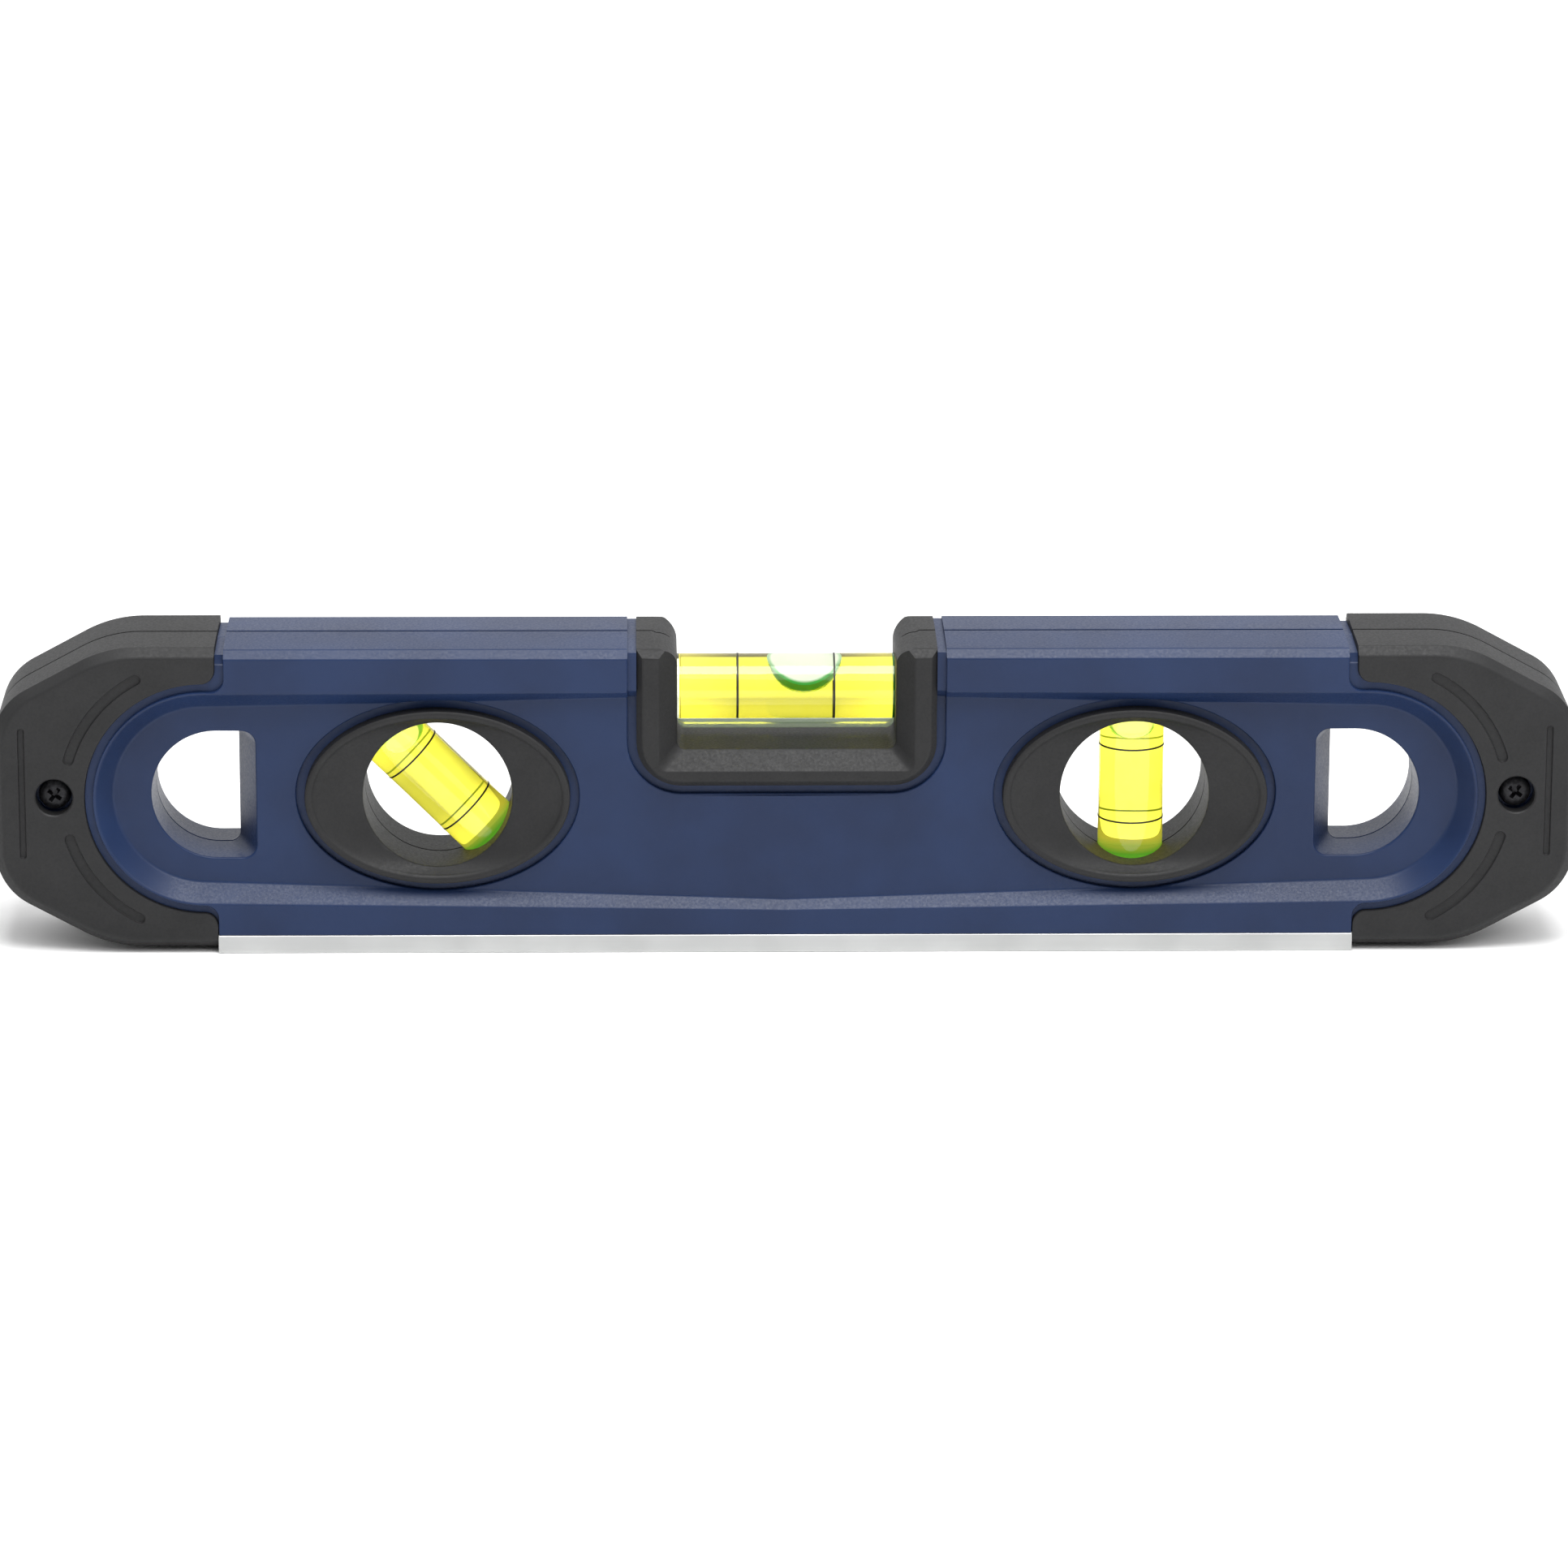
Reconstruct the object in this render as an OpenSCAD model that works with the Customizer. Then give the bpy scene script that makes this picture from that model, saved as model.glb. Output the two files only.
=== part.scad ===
// Spirit level, torpedo type: two moulded half shells clamped round three vials,
// with soft grips, a soft vial saddle, soft window bezels and a metal base rail.
// +X runs along the level, +Z is up, -Y is the front face. The origin is the middle of the base.
// Every half piece is drawn for the front (-Y) side and mirrored to make the rear one.

/* [Overall] */
// Length over the end grips
length = 229; // [215:1:290]
// Thickness from front face to rear face
thickness = 21; // [20:0.5:26]
// Height from the base to the top edge
height = 45.7; // [44:0.1:56]

/* [Base rail] */
// Length of the metal rail between the end grips
rail_len = 164.8; // [160:0.2:200]
// Height of the rail that shows below the housing
rail_h = 2.8; // [2:0.1:4]
// Width of the neck that the half shells close on
rail_neck_w = 9.2; // [8.4:0.1:11]
// Height of the neck
rail_neck_h = 1.4; // [1:0.1:2]
// Width of the head above the neck
rail_head_w = 12; // [11:0.1:13]
// Height of the head
rail_head_h = 1.4; // [1:0.1:2]
// Width of the V groove under the rail, for standing on pipe
vee_w = 7; // [4:0.1:9]
// Depth of the V groove
vee_d = 1.8; // [1:0.1:2.2]
// Diameter of each rail magnet
magnet_d = 8; // [5:0.1:8.4]
// Thickness of each rail magnet
magnet_t = 2.4; // [1:0.1:2.4]
// Distance from one magnet to the next
magnet_pitch = 60; // [30:1:74]

/* [Housing] */
// Fall of the top face from the seam to the front edge, for mould release
top_draft = 0.33; // [0:0.01:0.6]
// Bevel along the long top edges
top_bevel = 1.2; // [0.5:0.1:2]
// Width of the step between raised housing and soft trim
groove_w = 1.3; // [0.8:0.1:2]
// Depth of that step
groove_d = 0.8; // [0.4:0.1:1.2]
// Depth of the recessed web at the ends
web_d_end = 2.8; // [1.6:0.1:3.2]
// Depth of the recessed web at the middle
web_d_mid = 1.2; // [1:0.1:2.4]
// Height of the lower flange at the ends
flange_low_end = 4.1; // [3:0.1:5]
// Height of the lower flange at the middle
flange_low_mid = 3.6; // [3:0.1:5]
// Height of the upper flange at the ends
flange_top_end = 7.3; // [5:0.1:8]
// Height of the upper flange at the middle
flange_top_mid = 6.5; // [5:0.1:8]
// Run of the lower slope from flange to web at the ends
slope_low_end = 3; // [1:0.1:3.5]
// Run of the lower slope at the middle
slope_low_mid = 1.3; // [1:0.1:3.5]
// Run of the upper slope at the ends
slope_top_end = 2.1; // [1:0.1:3.5]
// Run of the upper slope at the middle
slope_top_mid = 0.6; // [0.4:0.1:3.5]
// Distance from the middle to the centre of the round end of the web
tongue_x = 84.2; // [82:0.1:100]
// Radius of the round end of the housing inside the grip
tongue_r = 17.2; // [16:0.1:18]
// Width of the flat rim round that end
tongue_rim = 1.5; // [1:0.1:2]
// Outer wall left in front of the inner hollows
wall = 2.2; // [1.5:0.1:3]
// Wall left beside the inner hollows
hollow_wall = 2; // [1.2:0.1:2.4]
// Half the rib between the two middle hollows
hollow_rib = 1.4; // [0.8:0.1:3]
// Distance from the middle to the end of each middle hollow
hollow_x = 20; // [10:0.5:24]
// Drop of the hollows beside the saddle below its lower edge
hollow_drop = 8; // [4:0.5:10]
// Height of the hollows beside the hanging holes
hollow_end_h = 18; // [8:0.5:20]

/* [Hanging holes] */
// Distance from the middle to the centre of each hole's round side
hang_x = 82.4; // [81:0.1:98]
// Radius of the round side
hang_r = 9.5; // [7:0.1:11]
// Distance from that centre to the flat side, at the seam
hang_flat = 2.9; // [2:0.1:5]
// How far the flat side leans out by the face
hang_lean = 2.7; // [0:0.1:3]

/* [End grips] */
// Gap between the bottom of the grips and the base plane
grip_lift = 0.8; // [0:0.1:1.2]
// Length of the flat end face
grip_end_h = 27; // [20:0.5:32]
// Length of the corner taper along the level
grip_taper = 16.5; // [10:0.5:20]
// Rounding of the corners beside the end face
grip_round_end = 9; // [2:0.5:12]
// Rounding of the corners beside the top and bottom
grip_round_top = 18; // [2:0.5:24]
// Bevel round the face of the grips
grip_bevel = 1.3; // [0.5:0.1:2]
// Thickness of the soft skin over the housing
grip_skin = 2.4; // [1.6:0.1:3]
// Width of the curved finger grooves cut in the face
rib_w = 1.5; // [0.6:0.1:2]
// Depth of the finger grooves
rib_d = 0.4; // [0.3:0.1:1]
// Distance from the round end of the housing to the curved grooves
rib_gap = 3.1; // [2:0.1:4]
// Angle above the middle where each curved groove starts
rib_from = 17; // [17:1:40]
// Angle above the middle where each curved groove ends
rib_to = 62; // [50:1:75]
// Width of the straight groove by the end face
rib_end_w = 0.9; // [0.6:0.1:1.2]
// Length of that groove
rib_len = 19.5; // [8:0.5:22]
// Distance from the end face to that groove
rib_inset = 4.1; // [3:0.1:4.5]
// Height of its middle above the middle of the grips
rib_rise = 0.9; // [0:0.1:2]

/* [Locating pins] */
// Diameter of the pins that line up the two housing halves
pin_d = 3; // [2:0.1:3.4]
// Length of the pins
pin_len = 2.5; // [1.5:0.1:4]
// Distance from the middle to the pins in the flanges
pin_x = 30; // [26:0.5:31]
// Height of the upper pins above the upper crease
pin_top_rise = 2.4; // [2:0.1:3]
// Height of the lower pins above the lower crease
pin_low_rise = 3.2; // [2:0.1:4]
// Distance from the centre of the round end to the end pins
pin_end_x = 14.2; // [13.8:0.1:15]

/* [Screws] */
// Distance from the middle to each clamping screw
screw_x = 105.8; // [105:0.1:120]
// Height of the screws above the middle of the grips
screw_rise = 0.35; // [0:0.05:2]
// Diameter of the screw shank
screw_d = 2.5; // [2:0.1:3]
// Diameter of the pan head
screw_head_d = 4.6; // [4:0.1:4.8]
// Height of the pan head
screw_head_h = 1.6; // [1:0.1:2]
// Diameter of the counterbore in the grip
screw_bore_d = 5.4; // [5:0.1:6]
// Depth of the head below the grip face
screw_sink = 1.6; // [0.5:0.1:2]
// Length of the shank under the head
screw_len = 13; // [10:0.5:14]
// Width of the cross recess in the head
recess_w = 2.8; // [2:0.1:3.4]
// Width of each slot of the cross
recess_slot = 0.7; // [0.4:0.1:1]
// Depth of the cross
recess_d = 1; // [0.5:0.1:1.2]
// Turn of the cross at rest
recess_turn = 35; // [0:5:90]

/* [Saddle] */
// Width of the saddle over its two posts
saddle_w = 43.4; // [40:0.2:50]
// Clear width between the posts
saddle_gap = 31.6; // [26:0.2:32]
// Height from the base to the saddle's lower edge
saddle_low_z = 24.9; // [24:0.1:27]
// Height from the base to the saddle's floor
saddle_floor_z = 30; // [29:0.1:31]
// Rounding of the saddle's outer lower corners
saddle_round = 6.5; // [2:0.1:8]
// Rounding of the post tops beside the vial
post_round = 3; // [1:0.1:3.5]
// Bevel from the saddle's face down to its floor
saddle_bevel = 2.7; // [1:0.1:3]
// Thickness of the soft skin over the housing
saddle_skin = 2; // [1.5:0.1:2.4]

/* [Windows] */
// Distance from the middle to each round window
window_x = 50.5; // [48:0.1:52]
// Diameter of the round windows
window_d = 21.6; // [19:0.1:22]
// Wall of the soft liner in each window
liner_wall = 1.5; // [1:0.1:2]
// Width of the oval bezel
bezel_w = 38.4; // [34:0.1:39]
// Height of the oval bezel
bezel_h = 26; // [25:0.1:27]
// Width of the raised rim round the bezel's dish
bezel_rim = 1.2; // [0.8:0.1:1.4]
// Depth of the window's edge below the front face
bezel_dish = 2.3; // [1.6:0.1:3]
// Depth of the bezel's rim below the front face
bezel_sink = 0.5; // [0:0.1:1]
// Depth of the bezel's seat below the front face
bezel_seat = 4; // [3.5:0.1:5]
// Depth of the step round the bezel below the web at the ends
bezel_step = 0.3; // [0:0.1:0.8]

/* [Vials] */
// Outside diameter of the two window vials
vial_d = 9.5; // [8:0.1:10]
// Length of the two window vials
vial_len = 27; // [25:0.5:28]
// Bore of every vial
vial_bore = 7.2; // [6:0.1:7.2]
// Thickness of the closed end of every vial
vial_end = 2; // [1.5:0.1:3]
// Length of the plug in the open end of each window vial
plug_len = 3; // [2:0.1:4]
// Distance between the two marks on a window vial
mark_gap = 11; // [9:0.1:12]
// Width of the marks
mark_w = 0.3; // [0.2:0.05:0.5]
// Thickness of the printed marks
mark_t = 0.05; // [0.05:0.01:0.1]
// Tilt of the angle vial from level
angle_tilt = 45; // [30:1:60]
// Outside diameter of the centre vial
block_w = 9.6; // [9:0.1:10]
// Length of the centre vial
block_len = 35; // [34.6:0.2:36]
// Height of the centre vial's bore above the base
block_z = 37.3; // [36.6:0.1:38.4]
// Distance from the bore's centre down to the base of the centre vial's foot
block_drop = 5.7; // [5:0.05:6]
// Width of that foot
foot_w = 4.4; // [4:0.1:8]
// Rounding of the foot's lower corners
foot_round = 1.2; // [0.2:0.1:2]
// Length of the plug in the centre vial
block_plug_len = 2; // [1.2:0.1:3]
// Distance between the two marks on the centre vial
block_mark_gap = 14; // [12:0.1:16]

/* [Bubbles] */
// Length of the bubble in the centre vial
block_bubble_len = 10.9; // [8:0.1:13]
// Depth of that bubble below the top of the bore
block_bubble_drop = 5.1; // [3:0.1:6]
// Distance of the centre vial's bubble from the middle at rest
block_bubble_x = 2.7; // [-6:0.1:6]
// Length of the bubbles in the window vials
bubble_len = 3.8; // [3.6:0.1:10]
// Film of liquid round the bubbles in the window vials
bubble_film = 1.2; // [0.2:0.05:1.4]
// Rounding of the ends of those bubbles
bubble_round = 1.8; // [1:0.1:1.8]

/* [Fits] */
// Spare length at the ends of vial pockets, pin sockets and screw holes
pocket_gap = 0.3; // [0.1:0.05:0.4]
// Gap round the shank where it passes the front half
screw_fit = 0.2; // [0.1:0.05:0.4]
// Gap all round a vial in its pocket
vial_fit = 0.05; // [0.02:0.01:0.1]
// Gap between the foot of the centre vial and the posts
foot_fit = 0.1; // [0.05:0.05:0.3]
// Gap between the rail's head and the shells
rail_fit = 0.1; // [0.05:0.01:0.2]
// Gap round a magnet in its pocket
magnet_fit = 0.05; // [0.02:0.01:0.1]
// Gap round a locating pin in its socket
pin_fit = 0.06; // [0.03:0.01:0.1]
// Gap between a bubble and its vial's bore
bubble_fit = 0.15; // [0.05:0.05:0.3]

/* [Hidden] */
$fn = 48;

// Housing colour
navy = "#2f3b59";
// Soft trim colour
black = "#3e3e40";
// Rail colour
metal = "#d2d4d3";
// Magnet and screw colour
steel = "#55575a";
// Vial body colour
clear = "#eef2ec";
// Vial liquid colour
lime = "#f1ea3a";
// Bubble colour
air = "#f4f8e8";
// Mark colour
ink = "#1b1c1a";

// A cut runs this far past the face it opens
over = 1;
// Points used for each rounded corner of an outline
corner_steps = 6;
// Facets of a hulled circle
hull_fn = 64;
// Points used for a quarter of a bubble's outline
bubble_steps = 10;

half_t = thickness / 2;
mid_z = (height + grip_lift) / 2;
screw_z = mid_z + screw_rise;
front_top = height - top_draft;
rail_half = rail_len / 2;
raised_half = rail_half - groove_w;
tip_x = length / 2;
neck_top = rail_h + rail_neck_h;
head_top = neck_top + rail_head_h;
magnet_z = vee_d;
magnet_pocket_top = magnet_z + magnet_t;
low_crease_end = rail_h + flange_low_end;
low_crease_mid = rail_h + flange_low_mid;
top_crease_end = height - flange_top_end;
top_crease_mid = height - flange_top_mid;
web_end_y = half_t - web_d_end;
web_mid_y = half_t - web_d_mid;
core_y = half_t - grip_skin;
post_half = saddle_w / 2;
gap_half = saddle_gap / 2;
liner_half = post_half - saddle_skin;
saddle_core_z = saddle_low_z + saddle_skin;
liner_r = window_d / 2 + liner_wall;
bezel_face_y = half_t - bezel_sink;
bezel_seat_y = half_t - bezel_seat;
block_base_z = block_z - block_drop;
foot_half = gap_half - foot_fit;
hollow_y = web_end_y - wall;
screw_head_y = half_t - screw_sink;
screw_seat_y = screw_head_y - screw_head_h;
chamber_len = vial_len - vial_end - plug_len;
chamber_mid = (vial_end - plug_len) / 2;
bubble_d = vial_bore - 2 * bubble_film;
bubble_rest = chamber_mid + chamber_len / 2 - bubble_len / 2 - bubble_fit;

// Locating pins as [distance from the middle, height], mirrored to the other side
pins = [[pin_x, top_crease_mid + pin_top_rise], [pin_x, low_crease_mid + pin_low_rise], [tongue_x + pin_end_x, mid_z]];
// Inner hollows on one side as [from x, to x, from z, to z]
hollows = [
    [hollow_rib, hollow_x, head_top + hollow_wall, saddle_low_z - hollow_wall],
    [post_half + hollow_wall, window_x - bezel_w / 2 - hollow_wall, saddle_low_z - hollow_drop, top_crease_mid - 2 * hollow_wall],
    [window_x + bezel_w / 2 + hollow_wall, hang_x - hang_flat - hang_lean - hollow_wall, mid_z - hollow_end_h / 2, mid_z + hollow_end_h / 2]
];

function unit(v) = v / norm(v);

function turn(a) = a > 180 ? a - 360 : (a < -180 ? a + 360 : a);

// Arc that rounds the corner b between its neighbours a and c; each is [x, z, radius]
function corner(a, b, c) =
    let (
        here = [b[0], b[1]],
        u = unit([a[0], a[1]] - here),
        v = unit([c[0], c[1]] - here),
        half = acos(u * v) / 2,
        mid = here + unit(u + v) * b[2] / sin(half),
        from = here + u * b[2] / tan(half) - mid,
        to = here + v * b[2] / tan(half) - mid,
        start = atan2(from[1], from[0]),
        sweep = turn(atan2(to[1], to[0]) - start)
    )
    b[2] == 0 ? [here] : [
        for (i = [0:corner_steps])
            mid + b[2] * [cos(start + sweep * i / corner_steps), sin(start + sweep * i / corner_steps)]
    ];

// Closed outline with each corner rounded to its own radius
function rounded(p) = [
    for (i = [0:len(p) - 1]) each corner(p[(i + len(p) - 1) % len(p)], p[i], p[(i + 1) % len(p)])
];

// Closed ellipse outline
function ellipse(a, b, steps = 72) = [for (i = [0:steps - 1]) [a * cos(i * 360 / steps), b * sin(i * 360 / steps)]];

// Draws an outline in X and Z, from one depth in front of the seam to another
module slab(from, to) {
    translate([0, -from, 0]) rotate([90, 0, 0]) linear_extrude(to - from) children();
}

// Draws an outline in Y and Z along the level
module bar(len) {
    rotate([90, 0, 90]) linear_extrude(len, center = true) children();
}

// Cylinder from one depth in front of the seam to another
module boss(x, z, r, from, to) {
    translate([x, -from, z]) rotate([90, 0, 0]) cylinder(h = to - from, r = r);
}

module both_ends() {
    children();
    mirror([1, 0, 0]) children();
}

module rear() {
    mirror([0, 1, 0]) children();
}

// ---- housing ----

// Section of one housing half: drafted top and bevelled edge, drawn smaller by inset
module housing_section(inset) {
    polygon([
        [0, rail_h],
        [-(half_t - inset), rail_h],
        [-(half_t - inset), front_top - top_bevel - inset],
        [-(half_t - inset - top_bevel), front_top - inset],
        [0, height - inset]
    ]);
}

// Outline of one end of the level, drawn smaller by inset
module end_outline(inset) {
    low = grip_lift + inset;
    top = height - inset;
    tip = tip_x - inset;
    taper_x = tip_x - grip_taper - inset * tan(14);
    face = grip_end_h / 2 - inset * tan(31);
    polygon(rounded([
        [tongue_x - 12, low, 0],
        [taper_x, low, grip_round_top],
        [tip, mid_z - face, grip_round_end],
        [tip, mid_z + face, grip_round_end],
        [taper_x, top, grip_round_top],
        [tongue_x - 12, top, 0]
    ]));
}

// Recessed web on one side, sloped at its edges and shallower towards the middle
module web_recess() {
    end_mid = (low_crease_end + slope_low_end + top_crease_end - slope_top_end) / 2;
    end_r = (top_crease_end - slope_top_end - low_crease_end - slope_low_end) / 2;
    hull() {
        translate([tongue_x, 0, end_mid]) slab(web_end_y, web_end_y + 0.01) circle(r = end_r, $fn = hull_fn);
        translate([tongue_x, 0, mid_z]) slab(half_t - groove_d, half_t + over)
            circle(r = tongue_r - tongue_rim, $fn = hull_fn);
        slab(web_mid_y, web_mid_y + 0.01)
            translate([0, low_crease_mid + slope_low_mid])
            square([0.1, top_crease_mid - slope_top_mid - low_crease_mid - slope_low_mid]);
        slab(half_t, half_t + over)
            translate([0, low_crease_mid])
            square([0.1, top_crease_mid - low_crease_mid]);
    }
}

// Hanging hole with a round end and a leaning flat side
module hang_hole() {
    slab(-over, half_t + over) translate([hang_x, mid_z]) {
        intersection() {
            circle(r = hang_r);
            translate([0, -hang_r]) square(2 * hang_r);
        }
        translate([-hang_flat, -hang_r]) square([hang_flat + 0.01, 2 * hang_r]);
    }
    translate([hang_x - hang_flat, 0, mid_z - hang_r])
        linear_extrude(2 * hang_r)
        polygon([[over, 0], [0, 0], [-hang_lean, -web_end_y], [-hang_lean, -half_t - over], [over, -half_t - over]]);
}

// Outline of the saddle, drawn larger by grow
module saddle_outline(grow) {
    polygon(rounded([
        [-post_half - grow, height + over, 0],
        [-post_half - grow, saddle_low_z - grow, saddle_round + grow],
        [post_half + grow, saddle_low_z - grow, saddle_round + grow],
        [post_half + grow, height + over, 0]
    ]));
}

// The housing core that the saddle's skin wraps
module saddle_core_outline() {
    difference() {
        saddle_outline(over);
        translate([-liner_half, saddle_core_z]) square([2 * liner_half, height]);
    }
}

module oval(grow) {
    polygon(ellipse(bezel_w / 2 + grow, bezel_h / 2 + grow));
}

// Space for a window vial, its axis along Z before it is tilted
module vial_pocket() {
    cylinder(h = vial_len + 2 * pocket_gap, d = vial_d + 2 * vial_fit, center = true);
}

module plumb_place() {
    translate([window_x, 0, mid_z]) children();
}

module angle_place() {
    translate([-window_x, 0, mid_z]) rotate([0, -angle_tilt, 0]) children();
}

module block_section(grow) {
    translate([0, block_z]) circle(d = block_w + 2 * grow);
}

module block_pocket() {
    bar(block_len + 2 * pocket_gap) block_section(vial_fit);
}

module vial_pockets() {
    plumb_place() vial_pocket();
    angle_place() vial_pocket();
    block_pocket();
}

// Slot that closes on the neck and head of the rail
module rail_slot() {
    bar(2 * rail_half + 2 * rail_fit) polygon([
        [over, rail_h - over],
        [-rail_neck_w / 2 - rail_fit, rail_h - over],
        [-rail_neck_w / 2 - rail_fit, neck_top - rail_fit],
        [-rail_head_w / 2 - rail_fit, neck_top - rail_fit],
        [-rail_head_w / 2 - rail_fit, head_top + rail_fit],
        [over, head_top + rail_fit]
    ]);
}

// Outer form of one housing half, before its holes
module shell_blank() {
    difference() {
        bar(2 * raised_half) housing_section(0);
        slab(half_t - groove_d, half_t + over) saddle_outline(groove_w);
        translate([-post_half - groove_w, -half_t - over, height - groove_d])
            cube([saddle_w + 2 * groove_w, half_t + 2 * over, 2 * groove_d + over]);
    }
    bar(2 * rail_half) housing_section(groove_d);
    both_ends() {
        slab(0, half_t - groove_d) translate([tongue_x, mid_z]) circle(r = tongue_r, $fn = 96);
        slab(0, core_y) intersection() {
            end_outline(grip_skin);
            translate([rail_half - 0.1, grip_lift]) square([length, height]);
        }
    }
}

module half_shell() {
    difference() {
        shell_blank();
        both_ends() {
            web_recess();
            hang_hole();
            slab(bezel_seat_y, half_t + over) translate([window_x, mid_z]) oval(0);
            slab(web_end_y - bezel_step, half_t + over) translate([window_x, mid_z]) oval(groove_w);
            boss(window_x, mid_z, liner_r, -over, half_t);
            for (h = hollows) {
                slab(-over, hollow_y) translate([h[0], h[2]]) square([h[1] - h[0], h[3] - h[2]]);
            }
        }
        slab(-over, half_t + over) translate([-liner_half, saddle_core_z]) square([2 * liner_half, height]);
        slab(half_t - saddle_skin, half_t + over) saddle_outline(0);
        translate([-post_half, -half_t - over, height - saddle_skin]) cube([saddle_w, half_t + 2 * over, height]);
        vial_pockets();
        rail_slot();
    }
}

module front_shell() {
    color(navy) difference() {
        half_shell();
        both_ends() {
            boss(screw_x, screw_z, screw_d / 2 + screw_fit, -over, half_t + over);
            boss(screw_x, screw_z, screw_bore_d / 2, screw_seat_y, half_t + over);
            for (p = pins) {
                boss(p[0], p[1], pin_d / 2 + pin_fit, -over, pin_len + pocket_gap);
            }
        }
    }
}

module rear_shell() {
    color(navy) {
        difference() {
            rear() half_shell();
            both_ends() boss(screw_x, screw_z, screw_d / 2, screw_seat_y - screw_len - pocket_gap, over);
        }
        both_ends() {
            for (p = pins) {
                boss(p[0], p[1], pin_d / 2, -0.5, pin_len);
            }
        }
    }
}

// ---- soft end grips ----

// Curved finger groove beside the round end of the housing, above or below the middle
module curved_rib(side) {
    r = tongue_r + rib_gap;
    steps = 12;
    angle = function(i) side * (rib_from + (rib_to - rib_from) * i / steps);
    slab(half_t - rib_d, half_t + over) translate([tongue_x, mid_z]) polygon(concat(
        [for (i = [0:steps]) (r + rib_w / 2) * [cos(angle(i)), sin(angle(i))]],
        [for (i = [steps:-1:0]) (r - rib_w / 2) * [cos(angle(i)), sin(angle(i))]]
    ));
}

// Straight finger groove near the end face
module straight_rib() {
    slab(half_t - rib_d, half_t + over)
        translate([tip_x - rib_inset - rib_end_w / 2, mid_z + rib_rise - rib_len / 2])
        square([rib_end_w, rib_len]);
}

// One grip half at the +X end; only the front ones are bored for a screw
module grip_half(bored) {
    color(black) difference() {
        intersection() {
            hull() {
                slab(0, half_t - grip_bevel) end_outline(0);
                slab(half_t - 0.01, half_t) end_outline(grip_bevel);
            }
            translate([rail_half, -half_t - over, 0]) cube([length, half_t + over, height + over]);
        }
        slab(-over, half_t + over) translate([tongue_x, mid_z]) circle(r = tongue_r, $fn = 96);
        slab(-over, core_y) intersection() {
            end_outline(grip_skin);
            translate([rail_half - over, 0]) square([length, height]);
        }
        curved_rib(1);
        curved_rib(-1);
        straight_rib();
        if (bored) boss(screw_x, screw_z, screw_bore_d / 2, 0, half_t + over);
    }
}

module right_grip_front() {
    grip_half(true);
}

module left_grip_front() {
    mirror([1, 0, 0]) grip_half(true);
}

module right_grip_rear() {
    rear() grip_half(false);
}

module left_grip_rear() {
    rear() mirror([1, 0, 0]) grip_half(false);
}

// ---- soft saddle round the centre vial ----

// Clear space between the posts, drawn larger by grow
module saddle_void(grow) {
    top = height + over;
    polygon(rounded([
        [-gap_half - grow, top, 0],
        [-gap_half - grow, saddle_floor_z - grow, 1],
        [gap_half + grow, saddle_floor_z - grow, 1],
        [gap_half + grow, top, 0]
    ]));
}

// Space that rounds the top of one post where it meets the vial's window
module post_rounding() {
    translate([gap_half, height - top_draft - post_round]) difference() {
        translate([-over, 0]) square([post_round + over, post_round + over]);
        translate([post_round, 0]) circle(r = post_round);
    }
}

module saddle_half() {
    color(black) difference() {
        intersection() {
            bar(saddle_w) housing_section(0);
            slab(-over, half_t + over) difference() {
                saddle_outline(0);
                saddle_void(0);
            }
        }
        hull() {
            slab(half_t - saddle_bevel, half_t - saddle_bevel + 0.01) saddle_void(0);
            slab(half_t, half_t + over) saddle_void(saddle_bevel);
        }
        slab(-over, half_t - saddle_skin) intersection() {
            saddle_core_outline();
            translate([-length, 0]) square([2 * length, height - saddle_skin]);
        }
        both_ends() slab(-over, half_t + over) post_rounding();
        block_pocket();
    }
}

module saddle_front() {
    saddle_half();
}

module saddle_rear() {
    rear() saddle_half();
}

// ---- soft bezels round the windows ----

module bezel_half(x) {
    color(black) difference() {
        union() {
            slab(bezel_seat_y, bezel_face_y) translate([x, mid_z]) oval(0);
            boss(x, mid_z, liner_r, 0, bezel_seat_y);
        }
        hull() {
            slab(half_t - bezel_dish, half_t - bezel_dish + 0.01) translate([x, mid_z])
                circle(d = window_d, $fn = hull_fn);
            slab(bezel_face_y, bezel_face_y + over) translate([x, mid_z]) oval(-bezel_rim);
        }
        boss(x, mid_z, window_d / 2, -over, half_t);
        vial_pockets();
    }
}

module right_bezel_front() {
    bezel_half(window_x);
}

module left_bezel_front() {
    bezel_half(-window_x);
}

module right_bezel_rear() {
    rear() bezel_half(window_x);
}

module left_bezel_rear() {
    rear() bezel_half(-window_x);
}

// ---- base rail, magnets and screws ----

module magnets(d, from, to) {
    for (i = [-1:1]) translate([i * magnet_pitch, 0, from]) cylinder(h = to - from, d = d);
}

module base_rail() {
    color(metal) difference() {
        bar(rail_len) polygon([
            [-half_t, 0],
            [-vee_w / 2, 0],
            [0, vee_d],
            [vee_w / 2, 0],
            [half_t, 0],
            [half_t, rail_h],
            [rail_neck_w / 2, rail_h],
            [rail_neck_w / 2, neck_top],
            [rail_head_w / 2, neck_top],
            [rail_head_w / 2, head_top],
            [-rail_head_w / 2, head_top],
            [-rail_head_w / 2, neck_top],
            [-rail_neck_w / 2, neck_top],
            [-rail_neck_w / 2, rail_h],
            [-half_t, rail_h]
        ]);
        magnets(magnet_d + 2 * magnet_fit, -over, magnet_pocket_top);
    }
}

module rail_magnets() {
    color(steel) magnets(magnet_d, magnet_z, magnet_pocket_top);
}

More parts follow.
